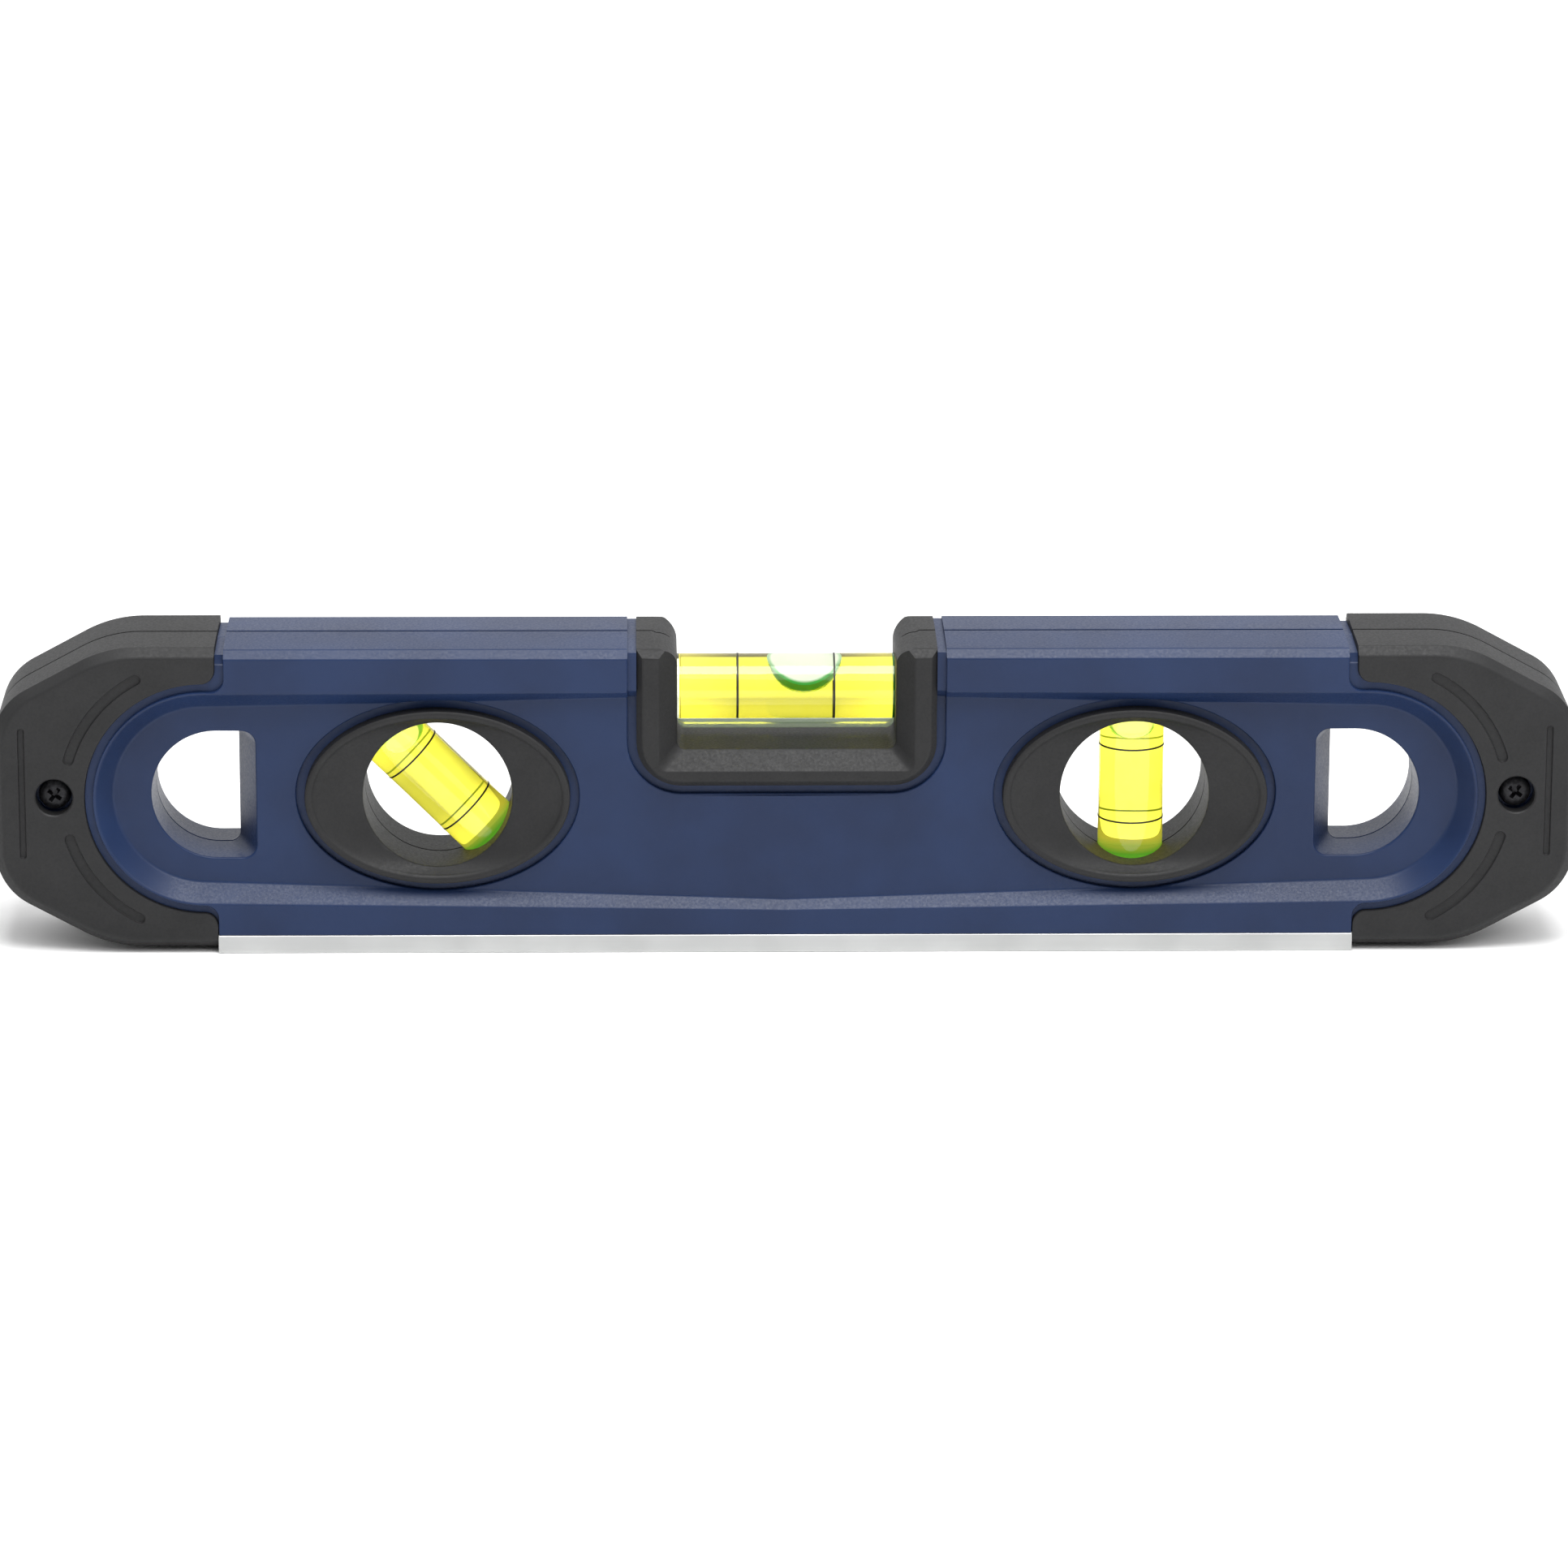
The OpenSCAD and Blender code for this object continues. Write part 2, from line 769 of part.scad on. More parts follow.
// Pan-head screw with a cross recess, entering from the front
module clamp_screw() {
    difference() {
        union() {
            boss(screw_x, screw_z, screw_head_d / 2, screw_seat_y, screw_head_y);
            boss(screw_x, screw_z, screw_d / 2, screw_seat_y - screw_len, screw_seat_y);
        }
        translate([screw_x, -screw_head_y, screw_z]) rotate([0, recess_turn, 0]) {
            cube([recess_w, 2 * recess_d, recess_slot], center = true);
            cube([recess_slot, 2 * recess_d, recess_w], center = true);
        }
    }
}

module clamp_screws() {
    color(steel) both_ends() clamp_screw();
}

// ---- vials ----

// Bore of a vial from its closed end to its plug, along Z
module chamber(len, closed, plug) {
    translate([0, 0, -len / 2 + closed]) cylinder(h = len - closed - plug, d = vial_bore);
}

// Quarter round from angle start to start + 90, round_x wide and round_z high, about [x, z]
function quarter(x, z, round_x, round_z, start) = [
    for (i = [0:bubble_steps])
        [x + round_x * cos(start + 90 * i / bubble_steps), z + round_z * sin(start + 90 * i / bubble_steps)]
];

// Bubble with flat ends and rounded corners, turned about Z
module slug(len, d, r) {
    rotate_extrude() polygon(concat(
        [[0, -len / 2]],
        quarter(d / 2 - r, r - len / 2, r, r, -90),
        quarter(d / 2 - r, len / 2 - r, r, r, 0),
        [[0, len / 2]]
    ));
}

// Bubble drawn out to an ellipse, turned about Z
module oval_slug(len, d) {
    rotate_extrude() polygon(concat(
        quarter(0, 0, d / 2, len / 2, -90),
        [for (i = [1:bubble_steps]) quarter(0, 0, d / 2, len / 2, 0)[i]]
    ));
}

module window_vial() {
    difference() {
        cylinder(h = vial_len, d = vial_d, center = true);
        chamber(vial_len, vial_end, -over);
    }
}

module window_plug() {
    translate([0, 0, vial_len / 2 - plug_len]) cylinder(h = plug_len, d = vial_bore);
}

module window_marks() {
    for (side = [-1, 1]) translate([0, 0, side * mark_gap / 2]) difference() {
        cylinder(h = mark_w, d = vial_d + 2 * mark_t, center = true);
        cylinder(h = mark_w + over, d = vial_d, center = true);
    }
}

// Bubble at the top end of a window vial, moved across the bore by side
module window_bubble(side) {
    translate([side, 0, bubble_rest]) slug(bubble_len, bubble_d, bubble_round);
}

angle_side = bubble_film - bubble_fit;

module angle_vial() {
    color(clear) angle_place() window_vial();
}

module angle_vial_plug() {
    color(lime) angle_place() window_plug();
}

module angle_vial_marks() {
    color(ink) angle_place() window_marks();
}

module angle_bubble() {
    color(air) angle_place() window_bubble(angle_side);
}

module angle_liquid() {
    color(lime) angle_place() difference() {
        chamber(vial_len, vial_end, plug_len);
        window_bubble(angle_side);
    }
}

module plumb_vial() {
    color(clear) plumb_place() window_vial();
}

module plumb_vial_plug() {
    color(lime) plumb_place() window_plug();
}

module plumb_vial_marks() {
    color(ink) plumb_place() window_marks();
}

module plumb_bubble() {
    color(air) plumb_place() window_bubble(0);
}

module plumb_liquid() {
    color(lime) plumb_place() difference() {
        chamber(vial_len, vial_end, plug_len);
        window_bubble(0);
    }
}

// Turns what is drawn along Z to lie along the centre vial's bore
module block_place() {
    translate([0, 0, block_z]) rotate([0, 90, 0]) children();
}

module centre_vial() {
    color(clear) difference() {
        union() {
            bar(block_len) block_section(0);
            slab(-foot_w / 2, foot_w / 2) polygon(rounded([
                [-foot_half, block_z, 0],
                [-foot_half, block_base_z, foot_round],
                [foot_half, block_base_z, foot_round],
                [foot_half, block_z, 0]
            ]));
        }
        block_place() chamber(block_len, vial_end, -over);
    }
}

module centre_vial_plug() {
    color(lime) block_place() translate([0, 0, block_len / 2 - block_plug_len])
        cylinder(h = block_plug_len, d = vial_bore);
}

module centre_vial_marks() {
    color(ink) for (side = [-1, 1]) translate([side * block_mark_gap / 2, 0, 0]) bar(mark_w) difference() {
        block_section(mark_t);
        block_section(0);
        translate([-foot_w / 2, block_base_z]) square([foot_w, block_drop]);
    }
}

// Bubble against the top of the centre vial's bore, round below
module centre_slug() {
    r = vial_bore / 2 - bubble_fit;
    intersection() {
        translate([block_bubble_x, 0, block_z + r]) rotate([0, 90, 0])
            oval_slug(block_bubble_len, 2 * block_bubble_drop);
        block_place() cylinder(h = block_len, r = r, center = true);
    }
}

module centre_bubble() {
    color(air) centre_slug();
}

module centre_liquid() {
    color(lime) difference() {
        block_place() chamber(block_len, vial_end, block_plug_len);
        centre_slug();
    }
}

front_shell();
rear_shell();
left_grip_front();
left_grip_rear();
right_grip_front();
right_grip_rear();
saddle_front();
saddle_rear();
left_bezel_front();
left_bezel_rear();
right_bezel_front();
right_bezel_rear();
base_rail();
rail_magnets();
clamp_screws();
centre_vial();
centre_vial_plug();
centre_vial_marks();
centre_liquid();
centre_bubble();
angle_vial();
angle_vial_plug();
angle_vial_marks();
angle_liquid();
angle_bubble();
plumb_vial();
plumb_vial_plug();
plumb_vial_marks();
plumb_liquid();
plumb_bubble();
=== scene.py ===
"""Spirit level: detailed pieces, materials and studio stage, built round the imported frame."""

import math

import bmesh
import bpy
from mathutils import Matrix, Vector


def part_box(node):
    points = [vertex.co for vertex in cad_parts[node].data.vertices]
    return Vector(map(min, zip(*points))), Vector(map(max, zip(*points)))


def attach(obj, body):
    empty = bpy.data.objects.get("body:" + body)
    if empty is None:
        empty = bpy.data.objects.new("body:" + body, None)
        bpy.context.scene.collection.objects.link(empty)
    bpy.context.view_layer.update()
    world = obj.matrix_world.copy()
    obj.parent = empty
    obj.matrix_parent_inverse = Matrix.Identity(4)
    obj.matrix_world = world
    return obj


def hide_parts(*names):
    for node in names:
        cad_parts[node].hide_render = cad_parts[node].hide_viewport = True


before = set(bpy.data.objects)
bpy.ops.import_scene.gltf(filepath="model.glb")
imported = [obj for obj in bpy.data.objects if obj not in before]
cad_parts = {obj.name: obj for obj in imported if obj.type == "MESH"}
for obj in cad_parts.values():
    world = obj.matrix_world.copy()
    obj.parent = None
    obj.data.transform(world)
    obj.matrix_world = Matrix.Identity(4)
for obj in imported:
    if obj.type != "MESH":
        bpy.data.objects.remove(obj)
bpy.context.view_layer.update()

bl_info = {
    "name": "Spirit Level",
    "version": (1, 0, 0),
    "blender": (4, 5, 0),
    "location": "View3D > Sidebar > Level",
    "description": "Builds a torpedo spirit level round its packed frame",
    "category": "Object",
}

MM = 0.001
TURN = 2 * math.pi
X, Y = (1, 0, 0), (0, 1, 0)
# Points on a rounded corner and on a full circle
ROUND_STEPS = 10
CIRCLE_STEPS = 96
# Gap round a vial in its pocket, and the pocket's spare length
POCKET_FIT = 0.05
POCKET_SPARE = 0.3
# Gap between a window bubble and the bore's wall
BUBBLE_FIT = 0.15
# The centre bubble wets the bore's wall, so it stands this far out of the spirit
BUBBLE_PROUD = 0.02
# The centre bubble is drawn shallower than its CAD solid, to this share of the depth
BUBBLE_SHARE = 0.83
# Width of the rounded rim of a hanging hole, and of the step round the soft trim
HOLE_RIM = 0.35
STEP_RIM = 0.22
# How far the corners of the end outline move for each millimetre that it shrinks
TAPER_SHIFT = math.tan(math.radians(14))
FACE_SHIFT = math.tan(math.radians(31))
# Ends that are closer than this are one point, and shorter edges are dropped
MERGE_GAP = 0.002
SHORTEST_EDGE = 0.0005
ACRYLIC_IOR = 1.49
# A noise's values lie mostly in this range
NOISE_RANGE = (0.3, 0.7)
# The satin foot of the centre vial, painted grey-green as a reflection, starts this far below its axis
FOOT_START = 4.4
FOOT_FADE = 0.15


def box_mm(node):
    """Lowest and highest corner of a frame node, in millimetres."""
    low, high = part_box(node)
    return Vector(low) / MM, Vector(high) / MM


# Places and outer sizes from the frame, in millimetres
GRIP_LOW, GRIP_HIGH = box_mm("right_grip_front")
SHELL_LOW, SHELL_HIGH = box_mm("front_shell")
SADDLE_LOW, SADDLE_HIGH = box_mm("saddle_front")
BEZEL_LOW, BEZEL_HIGH = box_mm("right_bezel_front")
RAIL_HIGH = box_mm("base_rail")[1]
MAGNET_LOW, MAGNET_HIGH = box_mm("rail_magnets")
SCREW_LOW, SCREW_HIGH = box_mm("clamp_screws")
BLOCK_LOW, BLOCK_HIGH = box_mm("centre_vial")
PLUMB_LOW, PLUMB_HIGH = box_mm("plumb_vial")
AIR_LOW, AIR_HIGH = box_mm("plumb_bubble")
FACE_Y = -GRIP_LOW.y
TOP_Z = GRIP_HIGH.z
MID_Z = (GRIP_LOW.z + GRIP_HIGH.z) / 2
RAIL_HALF = RAIL_HIGH.x
TIP_X = GRIP_HIGH.x
WINDOW_X = (BEZEL_LOW.x + BEZEL_HIGH.x) / 2
VIAL_R = (PLUMB_HIGH.x - PLUMB_LOW.x) / 2
VIAL_LEN = PLUMB_HIGH.z - PLUMB_LOW.z
BLOCK_R = (BLOCK_HIGH.y - BLOCK_LOW.y) / 2
BLOCK_Z = BLOCK_HIGH.z - BLOCK_R
AIR_R = (AIR_HIGH.x - AIR_LOW.x) / 2
AIR_LEN = AIR_HIGH.z - AIR_LOW.z
AIR_REST = (AIR_HIGH.z + AIR_LOW.z) / 2 - MID_Z


# ---- outlines and solids ----


def arc(centre, radius, start, end, steps=ROUND_STEPS):
    """Points along an arc in X and Z, with angles in degrees."""
    angles = [math.radians(start + (end - start) * i / steps) for i in range(steps + 1)]
    return [(centre[0] + radius * math.cos(a), centre[1] + radius * math.sin(a)) for a in angles]


def ellipse(centre, a, b, steps=CIRCLE_STEPS):
    return [
        (centre[0] + a * math.cos(TURN * i / steps), centre[1] + b * math.sin(TURN * i / steps))
        for i in range(steps)
    ]


def rounded(corners, steps=ROUND_STEPS):
    """Closed outline with each (x, z, radius) corner rounded."""
    points = []
    for i, (x, z, r) in enumerate(corners):
        here = Vector((x, z))
        if r <= 0:
            points.append((x, z))
            continue
        before = (Vector(corners[i - 1][:2]) - here).normalized()
        after = (Vector(corners[(i + 1) % len(corners)][:2]) - here).normalized()
        half = before.angle(after) / 2
        middle = here + (before + after).normalized() * r / math.sin(half)
        first = here + before * r / math.tan(half) - middle
        last = here + after * r / math.tan(half) - middle
        start = math.atan2(first.y, first.x)
        sweep = math.atan2(last.y, last.x) - start
        sweep = (sweep + math.pi) % TURN - math.pi
        for k in range(steps + 1):
            a = start + sweep * k / steps
            points.append((middle.x + r * math.cos(a), middle.y + r * math.sin(a)))
    return points


def mirrored(points):
    return [(-x, z) for x, z in reversed(points)]


def solid(name, loops, wrap=False):
    """Closed mesh through loops of equal length. Each loop is a list of (x, y, z) in mm."""
    bm = bmesh.new()
    rings = [[bm.verts.new(p) for p in loop] for loop in loops]
    pairs = list(zip(rings, rings[1:]))
    if wrap:
        pairs.append((rings[-1], rings[0]))
    for low, high in pairs:
        for i in range(len(low)):
            j = (i + 1) % len(low)
            bm.faces.new((low[i], low[j], high[j], high[i]))
    if not wrap:
        bm.faces.new(list(reversed(rings[0])))
        bm.faces.new(rings[-1])
    bmesh.ops.remove_doubles(bm, verts=bm.verts, dist=1e-5)
    bmesh.ops.dissolve_degenerate(bm, edges=bm.edges, dist=1e-6)
    bmesh.ops.recalc_face_normals(bm, faces=bm.faces)
    mesh = bpy.data.meshes.new(name)
    bm.to_mesh(mesh)
    bm.free()
    piece = bpy.data.objects.new(name, mesh)
    bpy.context.scene.collection.objects.link(piece)
    return piece


def stack(name, levels):
    """Solid from (outline, y) levels, where y is a number or a function of x and z."""
    loops = []
    for outline, y in levels:
        loops.append([(x, y(x, z) if callable(y) else y, z) for x, z in outline])
    return solid(name, loops)


def sweep_x(name, section, levels):
    """Solid from a closed (y, z) section drawn at each x in levels."""
    return solid(name, [[(x, y, z) for y, z in section] for x in levels])


def lathe(name, profile, steps=CIRCLE_STEPS):
    """Solid turned round Z from a closed profile of (radius, z)."""
    turns = [(math.cos(TURN * i / steps), math.sin(TURN * i / steps)) for i in range(steps)]
    loops = [[(r * c, r * s, z) for c, s in turns] for r, z in profile]
    return solid(name, loops, wrap=all(r > 0 for r, _ in profile))


def place(piece, matrix):
    piece.data.transform(matrix)
    if matrix.determinant() < 0:
        piece.data.flip_normals()
    return piece


def rod(name, r, low, high, matrix=Matrix(), steps=CIRCLE_STEPS):
    """Plain cylinder from low to high on the matrix's Z axis."""
    return place(lathe(name, [(0, low), (r, low), (r, high), (0, high)], steps), matrix)


def copy_of(piece, name):
    twin = piece.copy()
    twin.data = piece.data.copy()
    twin.name = name
    bpy.context.scene.collection.objects.link(twin)
    return twin


def settle(piece):
    """Turns the modifiers' result into the plain mesh."""
    graph = bpy.context.evaluated_depsgraph_get()
    graph.update()
    mesh = bpy.data.meshes.new_from_object(piece.evaluated_get(graph))
    old = piece.data
    piece.modifiers.clear()
    piece.data = mesh
    bpy.data.meshes.remove(old)
    return piece


def combine(piece, tools, how="DIFFERENCE", keep=()):
    """Cuts tools from a piece, joins them to it or keeps what is common."""
    for tool in tools:
        mod = piece.modifiers.new(how.title(), "BOOLEAN")
        mod.operation = how
        mod.solver = "EXACT"
        mod.object = tool
    settle(piece)
    for tool in tools:
        if tool not in keep:
            bpy.data.objects.remove(tool)
    return piece


def tidy(piece):
    """Merges stray doubles and points the faces outwards."""
    bm = bmesh.new()
    bm.from_mesh(piece.data)
    bmesh.ops.remove_doubles(bm, verts=bm.verts, dist=MERGE_GAP)
    bmesh.ops.dissolve_degenerate(bm, edges=bm.edges, dist=SHORTEST_EDGE)
    bmesh.ops.recalc_face_normals(bm, faces=bm.faces)
    bm.to_mesh(piece.data)
    bm.free()
    return piece


def finish_piece(piece, name, body, material, nodes, edge_angle=32):
    """Names a piece, scales its mesh to metres, gives its finish and ties it to the frame."""
    tidy(piece)
    piece.name = name
    piece.data.name = name
    piece.data.transform(Matrix.Scale(MM, 4))
    piece.data.shade_smooth()
    piece.data.set_sharp_from_angle(angle=math.radians(edge_angle))
    mod = piece.modifiers.new("Flat faces stay flat", "WEIGHTED_NORMAL")
    mod.keep_sharp = True
    settle(piece)
    piece.data.materials.clear()
    piece.data.materials.append(material)
    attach(piece, body)
    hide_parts(*nodes)
    return piece


def flip(piece, axis):
    """Mirrors a piece along an axis, X or Y."""
    return place(piece, Matrix.Scale(-1, 4, axis))


# ---- materials ----


def srgb(code, alpha=1.0):
    """Linear colour from an sRGB hex code."""
    parts = [int(code[i : i + 2], 16) / 255 for i in (1, 3, 5)]
    return (*[c / 12.92 if c <= 0.04045 else ((c + 0.055) / 1.055) ** 2.4 for c in parts], alpha)


def wire(tree, node, sockets):
    """Sets a node's sockets, each to a plain value, an output or another node's first output in use."""
    for key, value in sockets.items():
        if isinstance(value, bpy.types.Node):
            value = next(out for out in value.outputs if out.enabled)
        if isinstance(value, bpy.types.NodeSocket):
            tree.links.new(value, node.inputs[key])
        else:
            node.inputs[key].default_value = value


def add(tree, kind, sockets=None, **settings):
    """Adds a node with its settings, its input values and its input links."""
    node = tree.nodes.new(kind)
    for key, value in settings.items():
        setattr(node, key, value)
    wire(tree, node, sockets or {})
    return node


def new_material(name):
    """Material with an empty tree, its shader and its object coordinates."""
    material = bpy.data.materials.new(name)
    material.use_nodes = True
    tree = material.node_tree
    tree.nodes.clear()
    shader = add(tree, "ShaderNodeBsdfPrincipled")
    add(tree, "ShaderNodeOutputMaterial", {"Surface": shader})
    coords = add(tree, "ShaderNodeTexCoord").outputs["Object"]
    return material, tree, shader, coords


def pattern(period_mm, detail=2.0, rough=0.5):
    """Values for a noise whose features are about period_mm wide."""
    return {"Scale": 1 / (period_mm * MM), "Detail": detail, "Roughness": rough}


def span(low, high, start=0, end=1):
    """Values for a map from low-high to start-end."""
    return {"From Min": low, "From Max": high, "To Min": start, "To Max": end}


def moulded_abs(colours):
    """Injection-moulded ABS: spark-eroded satin texture, faint flow variation in tone."""
    material, tree, shader, coords = new_material("moulded ABS, navy")
    tone = add(tree, "ShaderNodeTexNoise", {"Vector": coords, **pattern(14, 3)})
    flow = add(tree, "ShaderNodeMapRange", {"Value": tone, **span(0.35, 0.65)})
    grain = add(tree, "ShaderNodeTexNoise", {"Vector": coords, **pattern(0.35, 3, 0.6)})
    colour = add(tree, "ShaderNodeMix", {0: flow, 6: colours.navy_deep, 7: colours.navy}, data_type="RGBA")
    wire(tree, shader, {
        "IOR": 1.53,
        "Specular IOR Level": 0.26,
        "Base Color": colour,
        "Roughness": add(tree, "ShaderNodeMapRange", {"Value": grain, **span(*NOISE_RANGE, 0.34, 0.5)}),
        "Normal": add(tree, "ShaderNodeBump", {"Height": grain, "Strength": 0.35, "Distance": 0.02 * MM}),
    })
    return material


def soft_rubber(colours):
    """Thermoplastic rubber overmould: matt, fine grain, greyish dust film in places."""
    material, tree, shader, coords = new_material("thermoplastic rubber, black")
    cloud = add(tree, "ShaderNodeTexNoise", {"Vector": coords, **pattern(6, 4, 0.6)})
    film = add(tree, "ShaderNodeMapRange", {"Value": cloud, **span(0.35, 0.7)})
    grain = add(tree, "ShaderNodeTexNoise", {"Vector": coords, **pattern(0.4, 3, 0.65)})
    colour = add(tree, "ShaderNodeMix", {0: film, 6: colours.rubber, 7: colours.rubber_dust}, data_type="RGBA")
    wire(tree, shader, {
        "IOR": 1.5,
        "Specular IOR Level": 0.36,
        "Base Color": colour,
        "Roughness": add(tree, "ShaderNodeMapRange", {"Value": grain, **span(*NOISE_RANGE, 0.5, 0.66)}),
        "Normal": add(tree, "ShaderNodeBump", {"Height": grain, "Strength": 0.4, "Distance": 0.03 * MM}),
    })
    return material


def extruded_aluminium(colours):
    """Bare extruded aluminium: fine lines along the extrusion, satin sheen."""
    material, tree, shader, coords = new_material("extruded aluminium")
    drawn = add(tree, "ShaderNodeMapping", {"Vector": coords, "Scale": (0.01, 1, 1)})
    lines = add(tree, "ShaderNodeTexNoise", {"Vector": drawn, **pattern(0.3, 4, 0.7)})
    cloud = add(tree, "ShaderNodeTexNoise", {"Vector": coords, **pattern(9)})
    tone = add(tree, "ShaderNodeMapRange", {"Value": cloud, **span(*NOISE_RANGE)})
    dull, bright = colours.aluminium_dull, colours.aluminium
    wire(tree, shader, {
        "Metallic": 1.0,
        "Base Color": add(tree, "ShaderNodeMix", {0: tone, 6: dull, 7: bright}, data_type="RGBA"),
        "Roughness": add(tree, "ShaderNodeMapRange", {"Value": lines, **span(*NOISE_RANGE, 0.32, 0.5)}),
        "Normal": add(tree, "ShaderNodeBump", {"Height": lines, "Strength": 0.3, "Distance": 0.01 * MM}),
    })
    return material


def nickel_plate(colours):
    """Nickel-plated magnet: bright, faint tumbling marks."""
    material, tree, shader, coords = new_material("nickel plate")
    marks = add(tree, "ShaderNodeTexNoise", {"Vector": coords, **pattern(0.6, 4, 0.7)})
    colour = add(tree, "ShaderNodeMix", {0: marks, 6: srgb("#b9bab6"), 7: srgb("#cfcfca")}, data_type="RGBA")
    wire(tree, shader, {
        "Metallic": 1.0,
        "Base Color": colour,
        "Roughness": add(tree, "ShaderNodeMapRange", {"Value": marks, **span(*NOISE_RANGE, 0.16, 0.3)}),
    })
    return material


def black_oxide(colours):
    """Black-oxide steel screw: dark, oily sheen, brighter where the driver bears."""
    material, tree, shader, coords = new_material("black oxide steel")
    wear = add(tree, "ShaderNodeTexNoise", {"Vector": coords, **pattern(0.7, 4, 0.7)})
    worn = add(tree, "ShaderNodeMapRange", {"Value": wear, **span(0.45, 0.75)})
    colour = add(tree, "ShaderNodeMix", {0: worn, 6: srgb("#17171a"), 7: srgb("#3a3a3d")}, data_type="RGBA")
    wire(tree, shader, {
        "Metallic": 0.6,
        "Base Color": colour,
        "Roughness": add(tree, "ShaderNodeMapRange", {"Value": wear, **span(*NOISE_RANGE, 0.3, 0.48)}),
        "Normal": add(tree, "ShaderNodeBump", {"Height": wear, "Strength": 0.3, "Distance": 0.01 * MM}),
    })
    return material


def clear_acrylic(colours):
    """Machined and polished acrylic: clear, with very faint turning marks."""
    material, tree, shader, coords = new_material("polished acrylic, clear")
    turning = add(tree, "ShaderNodeTexNoise", {"Vector": coords, **pattern(0.5)})
    wire(tree, shader, {
        "Base Color": srgb("#f4fbe9"),
        "Transmission Weight": 1.0,
        "IOR": ACRYLIC_IOR,
        "Roughness": add(tree, "ShaderNodeMapRange", {"Value": turning, **span(*NOISE_RANGE, 0.0, 0.03)}),
    })
    return material


def acrylic_block(colours):
    """Acrylic block with a less polished foot below its bore; the foot's grey-green colour is a painted reflection
    of the dark saddle floor and the green spirit.
    """
    material, tree, shader, coords = new_material("acrylic block, satin foot")
    height = add(tree, "ShaderNodeSeparateXYZ", {0: coords}).outputs["Z"]
    start, fade = (BLOCK_Z - FOOT_START) * MM, FOOT_FADE * MM
    foot = add(tree, "ShaderNodeMapRange", {"Value": height, **span(start, start + fade, 1, 0)})
    streak = add(tree, "ShaderNodeMapping", {"Vector": coords, "Scale": (0.3, 1, 1)})
    cloud = add(tree, "ShaderNodeTexNoise", {"Vector": streak, **pattern(2.5)})
    # Painted reflection: grey-green streaks stand in for the saddle floor and spirit reflected in the foot
    painted_reflection = add(tree, "ShaderNodeMix", {0: cloud, 6: srgb("#5d6954"), 7: srgb("#747f6b")}, data_type="RGBA")
    wire(tree, shader, {
        "Base Color": add(tree, "ShaderNodeMix", {0: foot, 6: srgb("#f6fbe6"), 7: painted_reflection}, data_type="RGBA"),
        "Transmission Weight": 1.0,
        "IOR": ACRYLIC_IOR,
        "Roughness": add(tree, "ShaderNodeMapRange", {"Value": foot, **span(0, 1, 0.01, 0.2)}),
    })
    return material


def vial_spirit(colours, name, centre, half_len):
    """Fluorescent yellow-green spirit: clear and bright, greener towards the ends of its bore, with a painted glow
    that rises away from its middle.
    Its IOR is relative to the acrylic round it."""
    material, tree, shader, coords = new_material(name)
    swirl = add(tree, "ShaderNodeTexNoise", {"Vector": coords, **pattern(5)})
    bright = add(tree, "ShaderNodeMix", {0: swirl, 6: colours.spirit, 7: colours.spirit_pale}, data_type="RGBA")
    away = add(tree, "ShaderNodeVectorMath", {0: coords, 1: centre}, operation="DISTANCE")
    # Seen edge on, the last of the spirit looks green. Away from its middle it gets a painted glow: emission that
    # brightens it where it has a dark wall behind it, though it is no lamp
    near_end = add(tree, "ShaderNodeMapRange", {"Value": away, **span(half_len * 0.93, half_len * 1.01)})
    colour = add(tree, "ShaderNodeMix", {0: near_end, 6: bright, 7: srgb("#7fc93f")}, data_type="RGBA")
    glow = add(tree, "ShaderNodeMapRange", {"Value": away, **span(half_len * 0.45, half_len * 0.8, 0.05, 0.3)})
    wire(tree, shader, {
        "Base Color": colour,
        "Transmission Weight": 1.0,
        "IOR": 0.97,
        "Roughness": 0.02,
        "Emission Color": colour,
        "Emission Strength": glow,
    })
    return material


def printed_ink(colours, name="printed ink, black", centre=(0, 0, 0), axis=(0, 0, 1), radius=0.0):
    """Screen-printed black ink line, slightly uneven. The side inside radius is painted in the spirit's green,
    painted light standing in for the spirit's glow seen on it.
    """
    material, tree, shader, coords = new_material(name)
    grain = add(tree, "ShaderNodeTexNoise", {"Vector": coords, **pattern(0.2, 3)})
    black = add(tree, "ShaderNodeMix", {0: grain, 6: srgb("#14150f"), 7: srgb("#24261c")}, data_type="RGBA")
    moved = add(tree, "ShaderNodeVectorMath", {0: coords, 1: centre}, operation="SUBTRACT")
    across = add(tree, "ShaderNodeVectorMath", {0: moved, 1: axis}, operation="CROSS_PRODUCT")
    reach = add(tree, "ShaderNodeVectorMath", {0: across}, operation="LENGTH")
    # Painted light: the inner side of the mark takes the green of the spirit's glow
    inside = add(tree, "ShaderNodeMapRange", {"Value": reach, **span(radius, radius + 0.01 * MM, 1, 0)})
    wire(tree, shader, {
        "Base Color": add(tree, "ShaderNodeMix", {0: inside, 6: black, 7: colours.meniscus}, data_type="RGBA"),
        "Roughness": add(tree, "ShaderNodeMapRange", {"Value": grain, **span(*NOISE_RANGE, 0.4, 0.6)}),
    })
    return material


def tinted_plug(colours):
    """Acrylic plug glued in the vial, tinted green by the long path through the spirit."""
    material, tree, shader, coords = new_material("acrylic plug, green tint")
    cloud = add(tree, "ShaderNodeTexNoise", {"Vector": coords, **pattern(2)})
    colour = add(tree, "ShaderNodeMix", {0: cloud, 6: colours.meniscus, 7: srgb("#7cc85a")}, data_type="RGBA")
    wire(tree, shader, {
        "Base Color": colour,
        "Transmission Weight": 0.6,
        "IOR": 1.0,
        "Roughness": 0.1,
    })
    return material


